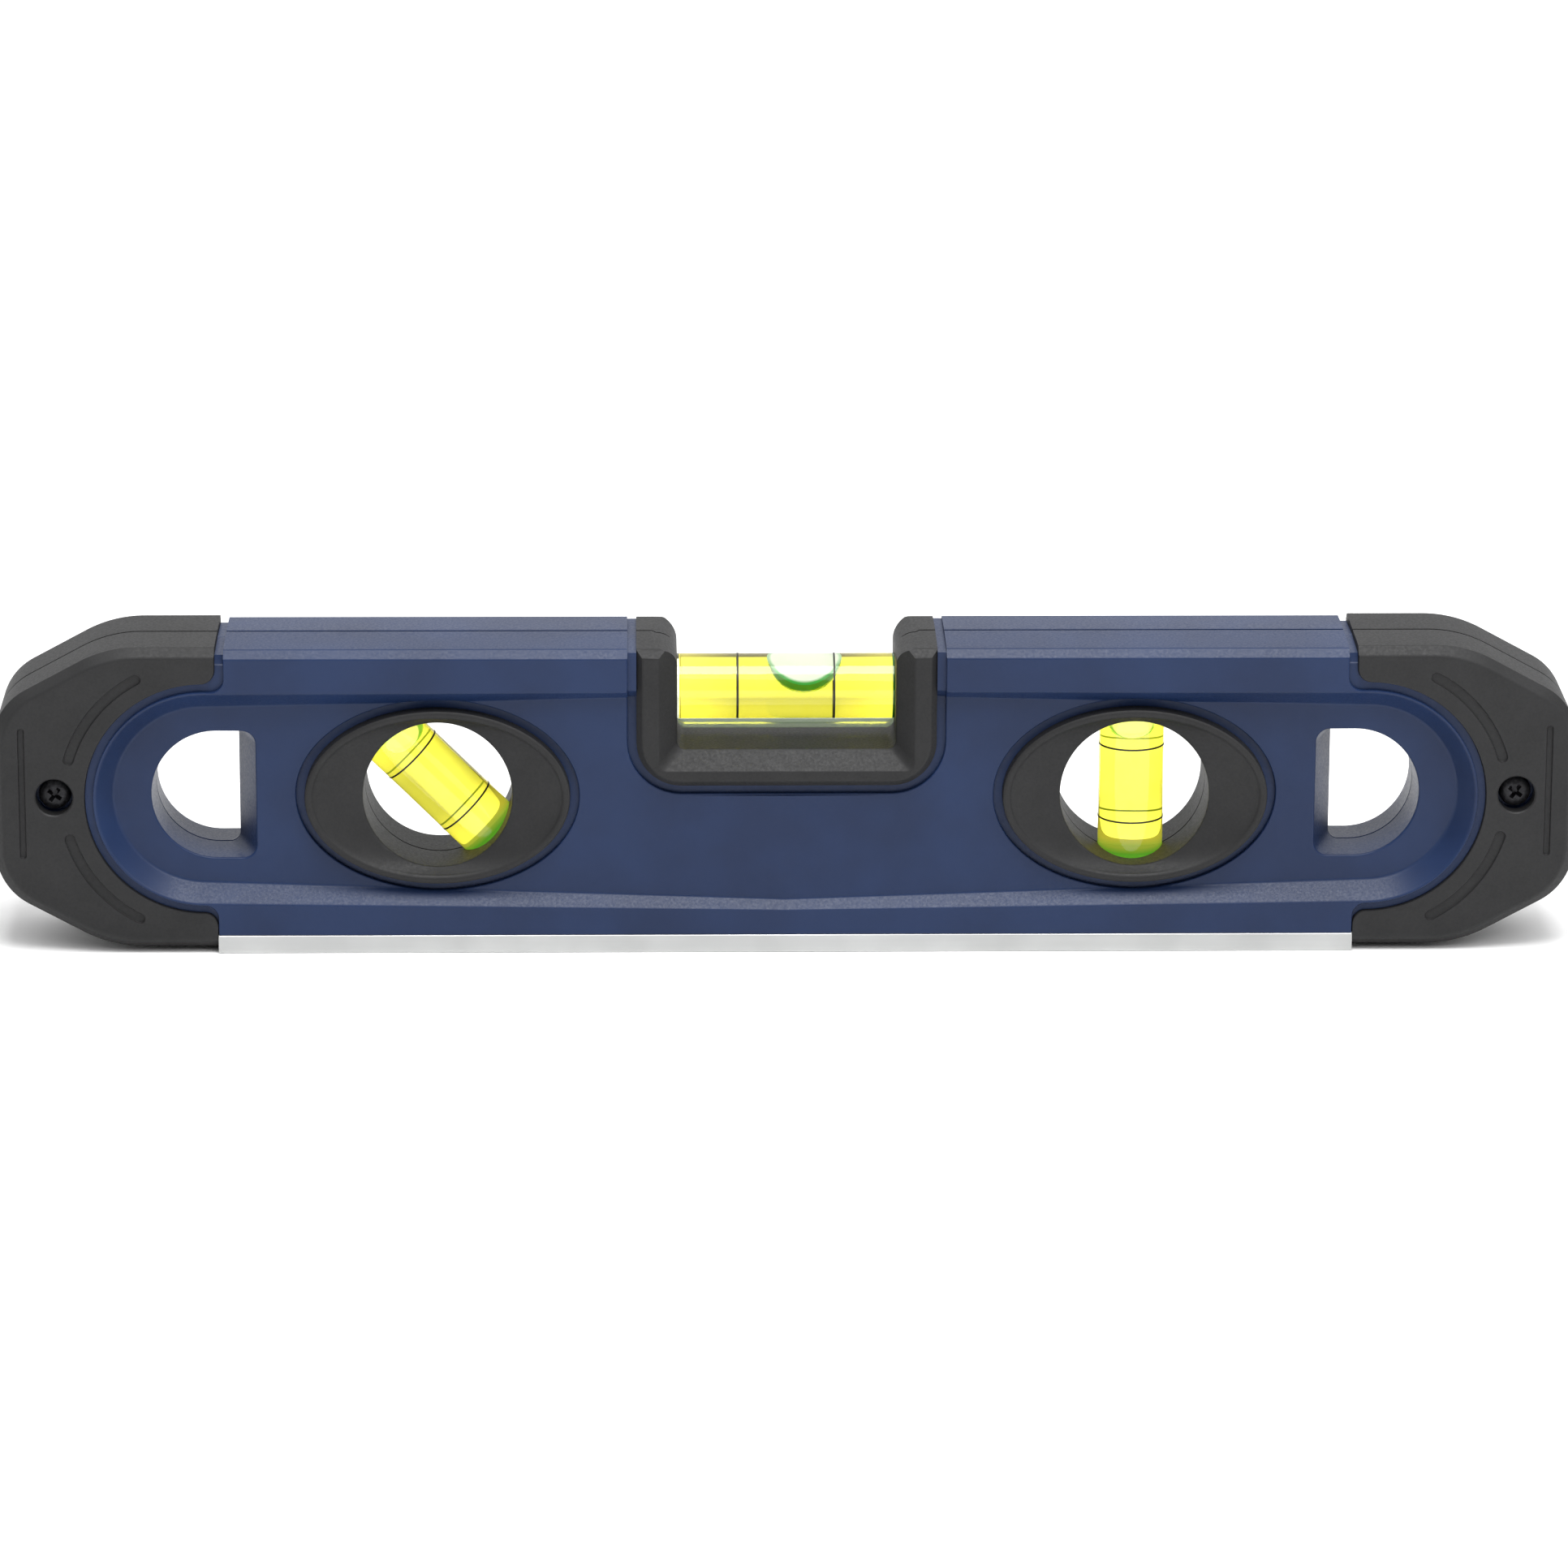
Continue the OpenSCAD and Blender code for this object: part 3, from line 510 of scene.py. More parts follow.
def air_bubble(colours, name, centre, down, along, across, through=None):
    """Air in the spirit: pale in its middle, with a thin green meniscus round its lower edge. The pale colour and
    an emission glow are painted light, standing in for the light that shines through the air.
    Its IOR is relative to the spirit."""
    material, tree, shader, coords = new_material(name)
    side = Vector((down.z, 0, -down.x))
    deep = Vector((0, 1, 0)) / (through * MM) if through else Vector()
    moved = add(tree, "ShaderNodeVectorMath", {0: coords, 1: tuple(centre * MM)}, operation="SUBTRACT")
    shares = []
    for way in (down / (along * MM), side / (across * MM), deep):
        shares.append(add(tree, "ShaderNodeVectorMath", {0: moved, 1: tuple(way)}, operation="DOT_PRODUCT"))
    joined = add(tree, "ShaderNodeCombineXYZ", dict(zip("XYZ", shares)))
    reach = add(tree, "ShaderNodeVectorMath", {0: joined}, operation="LENGTH")
    # The meniscus is the outermost part of the bubble, on its lower side only
    edge = add(tree, "ShaderNodeMapRange", {"Value": reach, **span(0.88, 0.95)})
    low = add(tree, "ShaderNodeMapRange", {"Value": shares[0], **span(-0.3, 0.2)})
    rim = add(tree, "ShaderNodeMath", {0: edge, 1: low}, operation="MULTIPLY")
    colour = add(tree, "ShaderNodeMix", {0: rim, 6: colours.air, 7: colours.meniscus}, data_type="RGBA")
    wire(tree, shader, {
        "Base Color": colour,
        "Transmission Weight": add(tree, "ShaderNodeMapRange", {"Value": rim, **span(0, 1, 0.15, 0.1)}),
        "IOR": 0.94,
        "Roughness": add(tree, "ShaderNodeMapRange", {"Value": rim, **span(0, 1, 0.03, 0.2)}),
        # Painted glow: the emission brightens the bubble though it is no lamp
        "Emission Color": colour,
        "Emission Strength": 0.3 if through else 0.75,
    })
    return material


# ---- housing ----


def inner_path(edge, radius, fillet, low_edge, low, high, centre):
    """Right-hand edge of the housing from top to bottom, round its circular end."""
    cx, cz = centre
    points = [(edge, high)]
    x = edge + fillet
    rise = math.sqrt((radius + fillet) ** 2 - (x - cx) ** 2)
    turn = math.degrees(math.atan2(-rise, cx - x)) % 360
    points += arc((x, cz + rise), fillet, 180, turn, 8)
    start = math.degrees(math.atan2(rise, x - cx))
    x = low_edge + fillet
    rise = math.sqrt((radius + fillet) ** 2 - (x - cx) ** 2)
    end = math.degrees(math.atan2(-rise, x - cx))
    points += arc((cx, cz), radius, start, end, 60)[1:-1]
    points += arc((x, cz - rise), fillet, math.degrees(math.atan2(rise, cx - x)), 180, 8)
    return points + [(low_edge, low)]


def housing_outline(size, grow, high, radius, edge, low_edge):
    inner = low_edge + grow, SHELL_LOW.z, high, (size.tongue_x, MID_Z)
    side = inner_path(edge + grow, radius + grow, size.corner_round, *inner)
    return side + mirrored(side)


def web_y(size, x):
    """Face of the recessed web at x in the front half."""
    share = min(abs(x) / size.tongue_x, 1.25)
    return -FACE_Y + size.web_mid + (size.web_end - size.web_mid) * share


def creases(size, x):
    """Outer lower, inner lower, inner upper and outer upper crease heights at x."""
    share = min(abs(x) / size.tongue_x, 1)
    ends = (MID_Z - size.dish_r, MID_Z - size.dish_inner_r, MID_Z + size.dish_inner_r, MID_Z + size.dish_r)
    lower = (size.crease_low, size.crease_low + size.slope_low)
    mids = (*lower, size.crease_high - size.slope_high, size.crease_high)
    return [m + (e - m) * share for m, e in zip(mids, ends)]


def surface_y(size, x, z):
    """Face of the finished housing at x and z: flange, slope or web."""
    low, low_in, high_in, high = creases(size, x)
    t = min((z - low) / (low_in - low), (high - z) / (high - high_in), 1.0)
    return -FACE_Y + (web_y(size, x) + FACE_Y) * max(0.0, t)


def dish_outline(size, t):
    """Outline of the recess from its outer crease at t = 0 to its inner one at t = 1."""
    radius = size.dish_r + (size.dish_inner_r - size.dish_r) * t
    low = size.crease_low + size.slope_low * t
    high = size.crease_high - size.slope_high * t
    side = arc((size.tongue_x, MID_Z), radius, 90, -90, 60)
    half = size.tongue_x / 2
    right = [(half, (high + MID_Z + radius) / 2)] + side + [(half, (low + MID_Z - radius) / 2)]
    return [(0, high)] + right + [(0, low)] + mirrored(right)


# Round the recess's creases: how far in along the slope, and the share of the depth reached there
DISH_STEPS = (
    (-0.1, 0.0), (-0.04, 0.004), (0.03, 0.04), (0.1, 0.1), (0.9, 0.9), (0.97, 0.96), (1.05, 0.997), (1.12, 1.0),
)
# Round an opening's rim: outward and inward from the face, as shares of the rim's width
RIM_STEPS = ((0, 1), (0.1, 0.5), (0.35, 0.18), (0.7, 0.04), (1, -0.01), (1.3, -0.05))


def dish_tool(size):
    """Cutter for the web recess, with rounded creases."""
    loops = [[(x, -FACE_Y - 2, z) for x, z in dish_outline(size, -0.1)]]
    for t, share in DISH_STEPS:
        y = lambda x: -FACE_Y + (web_y(size, x) + FACE_Y) * share
        loops.append([(x, y(x) - (0.01 if share == 0 else 0), z) for x, z in dish_outline(size, t)])
    piece = solid("dish", loops)
    bm = bmesh.new()
    bm.from_mesh(piece.data)
    for face in [f for f in bm.faces if len(f.verts) > 50]:
        middle = [v for v in face.verts if abs(v.co.x) < 1e-6]
        if len(middle) == 2:
            bmesh.utils.face_split(face, middle[0], middle[1])
    bm.to_mesh(piece.data)
    bm.free()
    return piece


def rimmed(size, name, inner, outline, rim):
    """Cutter through the face: inner levels, then outline opened with a rounded rim."""
    levels = list(inner)
    for grow, sink in RIM_STEPS:
        levels.append((outline(grow * rim), lambda x, z, sink=sink: surface_y(size, x, z) + sink * rim))
    levels.append((outline(1.3 * rim), -FACE_Y - 2))
    return stack(name, levels)


def hang_outline(size, lean, radius, corner):
    x, z = size.hang_x, MID_Z
    flat = x - size.hang_flat - lean
    points = arc((x, z), radius, -90, 90, 48)
    corners = [(x, z + radius, 0), (flat, z + radius, corner), (flat, z - radius, corner), (x, z - radius, 0)]
    return points + rounded(corners, 8)[1:-1]


def hang_tool(size):
    lean, r = size.hang_lean, size.hang_r
    slit = size.seam
    wide = hang_outline(size, slit, r - 0.3 + slit, 1.5)
    inner = [(wide, 1.0), (wide, -0.45 * slit), (hang_outline(size, 0.0, r - 0.3, 1.5), -0.6 * slit)]
    return rimmed(size, "hang", inner, lambda grow: hang_outline(size, lean + grow, r + grow, 2.0 + grow), HOLE_RIM)


def oval(grow):
    a = (BEZEL_HIGH.x - BEZEL_LOW.x) / 2 + grow
    b = (BEZEL_HIGH.z - BEZEL_LOW.z) / 2 + grow
    return ellipse((WINDOW_X, MID_Z), a, b)


def window_tool(size):
    liner = size.window_r + size.liner_wall
    bore = ellipse((WINDOW_X, MID_Z), liner, liner)
    seat = -FACE_Y + size.bezel_seat
    floor = lambda x, z: surface_y(size, x, z) + size.groove_depth
    inner = [(bore, 1.0), (bore, seat), (oval(0), seat), (oval(0), floor), (oval(size.groove), floor)]
    return rimmed(size, "window", inner, lambda grow: oval(size.groove + grow), STEP_RIM)


def u_shape(size, x, low, r, high):
    """U outline of half width x, with points where the housing's upper slope meets it."""
    inner, outer = creases(size, x)[2:]
    right = [(x, low, r)] + [(x, z + side, 0) for z in (inner, outer) for side in (-0.1, 0.1)] + [(x, high, 0)]
    return rounded([(-px, pz, pr) for px, pz, pr in reversed(right)] + right, 14)


def u_outline(size, grow, high):
    return u_shape(size, SADDLE_HIGH.x + grow, SADDLE_LOW.z - grow, size.saddle_round + grow, high)


def saddle_tools(size):
    """Cutters for the saddle's notch, its skin's seat and the step round it."""
    gap, depth = size.groove, size.groove_depth
    high = TOP_Z + 6
    inner = SADDLE_HIGH.x - size.saddle_skin
    core = SADDLE_LOW.z + size.saddle_skin
    notch = u_shape(size, inner, core, 0.6, high)
    seat = -FACE_Y + size.saddle_seat
    floor = lambda x, z: surface_y(size, x, z) + depth
    outline, wide = u_outline(size, 0, high), u_outline(size, gap, high)
    levels = [(notch, 1.0), (notch, seat), (outline, seat), (outline, floor), (wide, floor)]
    tools = [rimmed(size, "saddle_cut", levels, lambda grow: u_outline(size, gap + grow, high), STEP_RIM)]
    for half, z in ((SADDLE_HIGH.x, TOP_Z - size.saddle_skin), (SADDLE_HIGH.x + gap, TOP_Z - depth)):
        section = [(1, z), (1, high), (-FACE_Y - 2, high), (-FACE_Y - 2, z)]
        tools.append(sweep_x("top_cut", section, [-half, half]))
    return tools


def plumb_place():
    return Matrix.Translation((WINDOW_X, 0, MID_Z))


def angle_place():
    return Matrix.Translation((-WINDOW_X, 0, MID_Z)) @ Matrix.Rotation(-TURN / 8, 4, "Y")


def block_section(grow, steps=72):
    """Round section of the centre vial."""
    return ellipse((0, BLOCK_Z), BLOCK_R + grow, BLOCK_R + grow, steps)


def block_tool():
    """Cutter for the centre vial's pocket."""
    reach = BLOCK_HIGH.x + POCKET_SPARE
    return sweep_x("block", block_section(POCKET_FIT), [-reach, reach])


def window_pocket(matrix):
    """Cutter for one window vial's pocket."""
    reach, r = VIAL_LEN / 2 + POCKET_SPARE, VIAL_R + POCKET_FIT
    return rod("pocket", r, -reach, reach, matrix, 64)


def end_outline(size, inset, back):
    """Outline of one end of the level from its top to its bottom, smaller by inset."""
    low, high, tip = GRIP_LOW.z + inset, TOP_Z - inset, TIP_X - inset
    taper = TIP_X - size.grip_taper - inset * TAPER_SHIFT
    face = size.grip_face / 2 - inset * FACE_SHIFT
    return rounded([
        (back, low, 0), (taper, low, size.round_top), (tip, MID_Z - face, size.round_end),
        (tip, MID_Z + face, size.round_end), (taper, high, size.round_top), (back, high, 0),
    ], 16)


def rail_sections(size, fit):
    """Whole section of the rail, and the part of it that the shells close on."""
    neck, head = size.neck_w / 2 + fit, size.head_w / 2 + fit
    base, neck_z, head_z = SHELL_LOW.z, SHELL_LOW.z + size.neck_h - fit, RAIL_HIGH.z + fit
    foot = base - (0.5 if fit else 0)
    upper = [(neck, foot), (neck, neck_z), (head, neck_z), (head, head_z),
             (-head, head_z), (-head, neck_z), (-neck, neck_z), (-neck, foot)]
    edge, vee = 0.2, size.vee_w / 2
    lower = [
        (-FACE_Y, base - edge), (-FACE_Y, edge), (-FACE_Y + edge * 0.3, edge * 0.3), (-FACE_Y + edge, 0),
        (-vee, 0), (0, size.vee_d), (vee, 0),
        (FACE_Y - edge, 0), (FACE_Y - edge * 0.3, edge * 0.3), (FACE_Y, edge), (FACE_Y, base - edge),
        (FACE_Y - edge, base),
    ]
    return lower + upper + [(-FACE_Y + edge, base)], upper


def build_shell(size):
    """Front half of the housing."""
    bevel, seam, drop = size.top_bevel, size.seam, size.top_draft
    face_top = TOP_Z - drop
    raised = []
    for y, high, grow in (
        (0.0, TOP_Z - 3 * seam, -seam), (-0.6 * seam, TOP_Z - 3 * seam, -seam), (-0.7 * seam, TOP_Z - 0.06, -0.05),
        (-2 * seam, TOP_Z, 0), (-FACE_Y + bevel + 0.2, face_top + 0.01, 0),
        (-FACE_Y + bevel + 0.03, face_top - 0.04, 0), (-FACE_Y + bevel - 0.12, face_top - 0.14, 0),
        (-FACE_Y + 0.14, face_top - bevel + 0.12, 0), (-FACE_Y + 0.03, face_top - bevel - 0.03, -0.05),
        (-FACE_Y, face_top - bevel - 0.2, -0.18),
    ):
        outline = housing_outline(size, grow, high, size.dish_r + 0.3, size.raised_x, RAIL_HALF - 0.08)
        raised.append((outline, y))
    shell = stack("shell", raised)
    step, end = size.groove_depth, RAIL_HALF - 0.04
    lower = []
    for y, high in (
        (0.0, TOP_Z - step - 0.1), (-0.1, TOP_Z - step), (-FACE_Y + bevel + 0.2, face_top - step),
        (-FACE_Y + step + 0.2, face_top - bevel - step), (-FACE_Y + step, face_top - bevel - step - 0.2),
    ):
        lower.append((housing_outline(size, 0, high, size.tongue_r - 0.04, end, end), y))
    parts = [stack("shoulder", lower)]
    for left in (False, True):
        outline = end_outline(size, size.grip_skin, RAIL_HALF - 3)
        core = stack("core", [(outline, 0.0), (outline, -FACE_Y + size.grip_skin)])
        parts.append(flip(core, X) if left else core)
    combine(shell, parts, "UNION")
    holes = [hang_tool(size), window_tool(size)]
    holes += [flip(copy_of(hole, "left"), X) for hole in holes]
    combine(shell, [dish_tool(size), holes[0], holes[2], holes[1], holes[3]])
    slot = sweep_x("slot", rail_sections(size, 0.1)[1], [-RAIL_HALF - 0.1, RAIL_HALF + 0.1])
    pockets = [window_pocket(angle_place()), window_pocket(plumb_place()), block_tool()]
    combine(shell, saddle_tools(size) + pockets + [slot])
    bm = bmesh.new()
    bm.from_mesh(shell.data)
    geometry = list(bm.verts) + list(bm.edges) + list(bm.faces)
    bmesh.ops.bisect_plane(
        bm, geom=geometry, plane_co=(0, 0, 0), plane_no=(0, 1, 0), clear_outer=True, dist=1e-5
    )
    bm.to_mesh(shell.data)
    bm.free()
    return shell


def screw_tools(size, front):
    """Cutters for the screws: counterbore and clearance in the front half, pilot in the rear one."""
    tools = []
    seat, tip = SCREW_LOW.y + size.head_h, SCREW_HIGH.y + POCKET_SPARE
    for x in (-size.screw_x, size.screw_x):
        hole = lambda r: ellipse((x, size.screw_z), r, r, 48)
        if front:
            bore, shank = hole(size.screw_bore_r), hole(size.shank_r + size.screw_fit)
            levels = [(shank, 1.0), (shank, seat), (bore, seat), (bore, -FACE_Y - 1)]
        else:
            point, shank = hole(size.shank_r * 0.3), hole(size.shank_r)
            levels = [(point, tip), (shank, tip - 0.8), (shank, -1.0)]
        tools.append(stack("screw_hole", levels))
    return tools


# ---- soft trim ----


def grip_outline(size, inset, back):
    """Outline of a grip half: outer edge smaller by inset, inner edge moved back."""
    edge = RAIL_HALF + back
    outer = end_outline(size, inset, edge)
    centre, ends = (size.tongue_x, MID_Z), (outer[0][1], outer[-1][1])
    inner = inner_path(edge, size.tongue_r + back, size.corner_round, edge, *ends, centre)
    return outer + inner[1:-1]


def build_grip(size, bored):
    bevel, seam = size.grip_bevel, size.seam
    levels = []
    for y, inset, back in (
        (0.0, 3 * seam, 0), (-0.5 * seam, 3 * seam, 0), (-0.6 * seam, 0.05, 0), (-1.6 * seam, 0, 0),
        (-FACE_Y + bevel + 0.15, 0, 0), (-FACE_Y + bevel - 0.05, 0.06, 0),
        (-FACE_Y + 0.25, bevel - 0.25, 0), (-FACE_Y + 0.07, bevel, 0.07), (-FACE_Y, bevel + 0.3, 0.25),
    ):
        levels.append((grip_outline(size, inset, back), y))
    grip = stack("grip", levels)
    outline = end_outline(size, size.grip_skin, RAIL_HALF - 1)
    tools = [stack("core", [(outline, 1.0), (outline, -FACE_Y + size.grip_skin)])]
    centre = (size.tongue_x, MID_Z)
    radius, half, depth = size.tongue_r + size.rib_gap, size.rib_w / 2, size.rib_d
    for side in (1, -1):
        def curved(grow, side=side):
            """Curved slot with round ends."""
            w = half + grow
            first, last = (17, 62) if side > 0 else (-62, -17)
            start, end = [arc(centre, radius, a, a, 1)[0] for a in (first, last)]
            points = arc(centre, radius + w, first, last, 24) + arc(end, w, last, last + 180, 10)[1:-1]
            points += arc(centre, radius - w, last, first, 24)
            return points + arc(start, w, first + 180, first + 360, 10)[1:-1]
        tools.append(groove_tool(curved, depth))
    x, z = TIP_X - size.rib_inset, MID_Z + size.rib_rise
    def straight(grow):
        w, h = size.rib_end_w / 2 + grow, size.rib_len / 2 + grow
        r = w * 0.95
        return rounded([(x - w, z - h, r), (x + w, z - h, r), (x + w, z + h, r), (x - w, z + h, r)])
    tools.append(groove_tool(straight, depth))
    if bored:
        r = size.screw_bore_r
        bore = ellipse((size.screw_x, size.screw_z), r, r, 48)
        wide = ellipse((size.screw_x, size.screw_z), r + 0.2, r + 0.2, 48)
        tools.append(stack("bore", [(bore, 1.0), (bore, -FACE_Y + 0.2), (wide, -FACE_Y), (wide, -FACE_Y - 2)]))
    return combine(grip, tools)


def groove_tool(outline, depth):
    """Cutter for a shallow groove with a flat floor, steep walls and rounded lips."""
    return stack("groove", [
        (outline(-0.12), -FACE_Y + depth), (outline(-0.05), -FACE_Y + depth - 0.05),
        (outline(0), -FACE_Y + 0.1),
        (outline(0.04), -FACE_Y + 0.03), (outline(0.12), -FACE_Y - 0.01), (outline(0.12), -FACE_Y - 1),
    ])


def void_outline(size, grow):
    half, floor, top = size.gap_half + grow, size.saddle_floor - grow, TOP_Z + 5
    return rounded([(-half, top, 0), (-half, floor, 1.2), (half, floor, 1.2), (half, top, 0)])


def build_saddle(size):
    """Front half of the saddle: two posts and the floor between them."""
    bevel, seam = size.top_bevel, size.seam
    face_top = TOP_Z - size.top_draft
    levels = []
    for y, high, grow in (
        (0.0, TOP_Z - 3 * seam, 0), (-0.5 * seam, TOP_Z - 3 * seam, 0), (-0.6 * seam, TOP_Z - 0.05, 0),
        (-1.6 * seam, TOP_Z, 0), (-FACE_Y + bevel + 0.2, face_top, 0),
        (-FACE_Y + bevel - 0.1, face_top - 0.1, -0.02), (-FACE_Y + 0.2, face_top - bevel + 0.15, -0.75),
        (-FACE_Y + 0.05, face_top - bevel - 0.03, -0.95), (-FACE_Y, face_top - bevel - 0.22, -1.15),
    ):
        levels.append((u_outline(size, grow, high), y))
    saddle = stack("saddle", levels)
    depth = -FACE_Y + size.saddle_bevel
    void = stack("void", [
        (void_outline(size, 0), 1.0), (void_outline(size, 0), depth + 0.25), (void_outline(size, 0.06), depth),
        (void_outline(size, 0.3), depth - 0.27), (void_outline(size, size.saddle_bevel - 0.1), -FACE_Y + 0.12),
        (void_outline(size, size.saddle_bevel + 0.25), -FACE_Y - 0.02),
        (void_outline(size, size.saddle_bevel + 2), -FACE_Y - 2),
    ])
    inner = SADDLE_HIGH.x - size.saddle_skin
    core_z, cap_z = SADDLE_LOW.z + size.saddle_skin, TOP_Z - size.saddle_skin
    wide, deep = SADDLE_HIGH.x + 1, SADDLE_LOW.z - 1
    band = [
        (-wide, cap_z), (-wide, deep), (wide, deep), (wide, cap_z),
        (inner, cap_z), (inner, core_z), (-inner, core_z), (-inner, cap_z),
    ]
    core = stack("core", [(band, 1.0), (band, -FACE_Y + size.saddle_seat)])
    combine(saddle, [core, void])
    r = size.post_round
    z = face_top - r
    tools = []
    for sign in (1, -1):
        x = size.gap_half
        corner = [(x - 2, z), (x, z)] + arc((x + r, z), r, 180, 90, 16)[1:]
        corner += [(x + r + 0.8, face_top + 0.35), (x + r + 0.8, TOP_Z + 3), (x - 2, TOP_Z + 3)]
        tool = stack("rounding", [(corner, 1.0), (corner, -FACE_Y - 1)])
        tools.append(tool if sign > 0 else flip(tool, X))
    return combine(saddle, tools + [block_tool()])


def build_bezel(size, x):
    """Front half of a bezel: oval rim, dish down to the round window, liner to the seam."""
    a, b = (BEZEL_HIGH.x - BEZEL_LOW.x) / 2, (BEZEL_HIGH.z - BEZEL_LOW.z) / 2
    face, seat = BEZEL_LOW.y, -FACE_Y + size.bezel_seat
    window, edge = size.window_r, -FACE_Y + size.dish_depth
    rim = size.bezel_rim
    def ring(t, grow, y):
        """Loop between the oval at t = 0 and the window at t = 1, larger by grow."""
        ra, rb = (a - rim) * (1 - t) + window * t + grow, (b - rim) * (1 - t) + window * t + grow
        return [(px, y, pz) for px, pz in ellipse((x, MID_Z), ra, rb, 128)]
    start = face + size.rim_step
    loops = [
        ring(0, rim, seat), ring(0, rim, face + 0.5), ring(0, rim - 0.08, face + 0.2),
        ring(0, rim - 0.3, face + 0.04), ring(0, rim - 0.5, face), ring(0, 0.4, face + 0.02),
        ring(0, 0.18, face + 0.1), ring(0, 0.06, start - 0.1), ring(0, -0.05, start),
    ]
    for i in range(1, 12):
        t = i / 12
        loops.append(ring(t, 0, start + (edge - start) * (0.8 * t + 0.2 * math.sin(t * math.pi / 2))))
    loops += [
        ring(1, 0.25, edge - 0.03), ring(1, 0.07, edge + 0.06), ring(1, 0, edge + 0.25),
        ring(1, 0, -0.6 * size.seam), ring(1, size.seam, -0.45 * size.seam), ring(1, size.seam, 0.0),
        ring(1, size.liner_wall, 0.0), ring(1, size.liner_wall, seat),
    ]
    bezel = solid("bezel", loops, wrap=True)
    return combine(bezel, [window_pocket(angle_place() if x < 0 else plumb_place())])


# ---- rail, magnets and screws ----


def repeat_group():
    """Node group that sets copies of a piece along a line and gives them their material."""
    tree = bpy.data.node_groups.get("repeat along line")
    if tree:
        return tree
    tree = bpy.data.node_groups.new("repeat along line", "GeometryNodeTree")
    kinds = {
        "Geometry": "Geometry", "Piece": "Object", "Count": "Int", "First Place": "Vector", "Step": "Vector",
        "Material": "Material",
    }
    for name, kind in kinds.items():
        tree.interface.new_socket(name, in_out="INPUT", socket_type="NodeSocket" + kind)
    tree.interface.new_socket("Geometry", in_out="OUTPUT", socket_type="NodeSocketGeometry")
    inputs = add(tree, "NodeGroupInput").outputs
    line = add(tree, "GeometryNodeMeshLine", {
        "Count": inputs["Count"], "Start Location": inputs["First Place"], "Offset": inputs["Step"],
    })
    piece = add(tree, "GeometryNodeObjectInfo", {"Object": inputs["Piece"]})
    copies = add(tree, "GeometryNodeInstanceOnPoints", {
        "Points": line, "Instance": piece.outputs["Geometry"],
    })
    real = add(tree, "GeometryNodeRealizeInstances", {"Geometry": copies})
    finish = add(tree, "GeometryNodeSetMaterial", {"Geometry": real, "Material": inputs["Material"]})
    add(tree, "NodeGroupOutput", {"Geometry": finish})
    return tree


def repeat(piece, count, first, step, material):
    """One mesh with count copies of a piece along a line."""
    holder = bpy.data.objects.new("row", bpy.data.meshes.new("row"))
    bpy.context.scene.collection.objects.link(holder)
    mod = holder.modifiers.new("Row", "NODES")
    mod.node_group = repeat_group()
    values = {"Piece": piece, "Count": count, "First Place": first, "Step": step, "Material": material}
    for item in mod.node_group.interface.items_tree:
        if item.in_out == "INPUT" and item.name in values:
            mod[item.identifier] = values[item.name]
    settle(holder)
    bpy.data.objects.remove(piece)
    return holder


def build_rail(size):
    section = rail_sections(size, 0.0)[0]
    edge = 0.15
    middle = sum(y for y, _ in section) / len(section), 1.4
    shrunk = []
    for y, z in section:
        inward = edge if y < middle[0] else -edge, edge if z < middle[1] else -edge
        shrunk.append((y + inward[0] * 0.5, z + inward[1] * 0.3))
    end = RAIL_HALF
    loops = []
    for x, loop in ((-end, shrunk), (-end + edge, section), (end - edge, section), (end, shrunk)):
        loops.append([(x, y, z) for y, z in loop])
    rail = solid("rail", loops)
    top, r = MAGNET_HIGH.z, size.magnet_r + 0.05
    tools = []
    for i in (-1, 0, 1):
        tools.append(rod("pocket", r, -1, top, Matrix.Translation((i * size.magnet_pitch, 0, 0)), 64))
    return combine(rail, tools)


def build_magnet(size):
    r, low, high, e = size.magnet_r, MAGNET_LOW.z, MAGNET_HIGH.z, 0.25
    profile = [(0, low), (r - e, low), (r - e * 0.3, low + e * 0.3), (r, low + e)]
    return lathe("magnet", profile + [(r, high - e), (r - e, high), (0, high)], 64)


def build_screw(size):
    """Pan-head screw with a cross recess, at the left end."""
    head_y, seat_y, tip_y = SCREW_LOW.y, SCREW_LOW.y + size.head_h, SCREW_HIGH.y
    r, shank = size.head_r, size.shank_r
    profile = [(0, tip_y), (shank * 0.5, tip_y), (shank * 0.8, tip_y - 1.5)]
    turns, pitch = 11, 0.8
    for i in range(turns):
        y = tip_y - 1.8 - i * pitch
        profile += [(shank, y), (shank, y - 0.12), (shank * 0.78, y - 0.4), (shank * 0.78, y - 0.5)]
    tall = size.head_h
    profile += [
        (shank * 0.8, seat_y), (r - 0.1, seat_y), (r, seat_y - 0.1), (r, seat_y - tall * 0.45),
        (r * 0.93, seat_y - tall * 0.75), (r * 0.75, seat_y - tall * 0.94), (r * 0.4, head_y + 0.02), (0, head_y),
    ]
    screw = lathe("screw", [(radius, -y) for radius, y in profile], 48)
    place(screw, Matrix.Rotation(math.radians(90), 4, "X"))
    tools = []
    for angle in (35, 125):
        half, wide, deep = 1.35, 0.34, 1.1
        loops = []
        for a, y, b in ((half * 0.35, head_y + deep, wide * 0.6), (half, head_y - 0.3, wide)):
            loops.append([(-a, y, -b), (a, y, -b), (a, y, b), (-a, y, b)])
        slot = solid("slot", loops)
        tools.append(place(slot, Matrix.Rotation(math.radians(angle), 4, "Y")))
    return combine(screw, tools)


# ---- vials ----


def vial_profile(r, half, edge):
    return [(0, -half), (r - edge, -half), (r - edge * 0.3, -half + edge * 0.3), (r, -half + edge),
            (r, half - edge), (r - edge * 0.3, half - edge * 0.3), (r - edge, half), (0, half)]


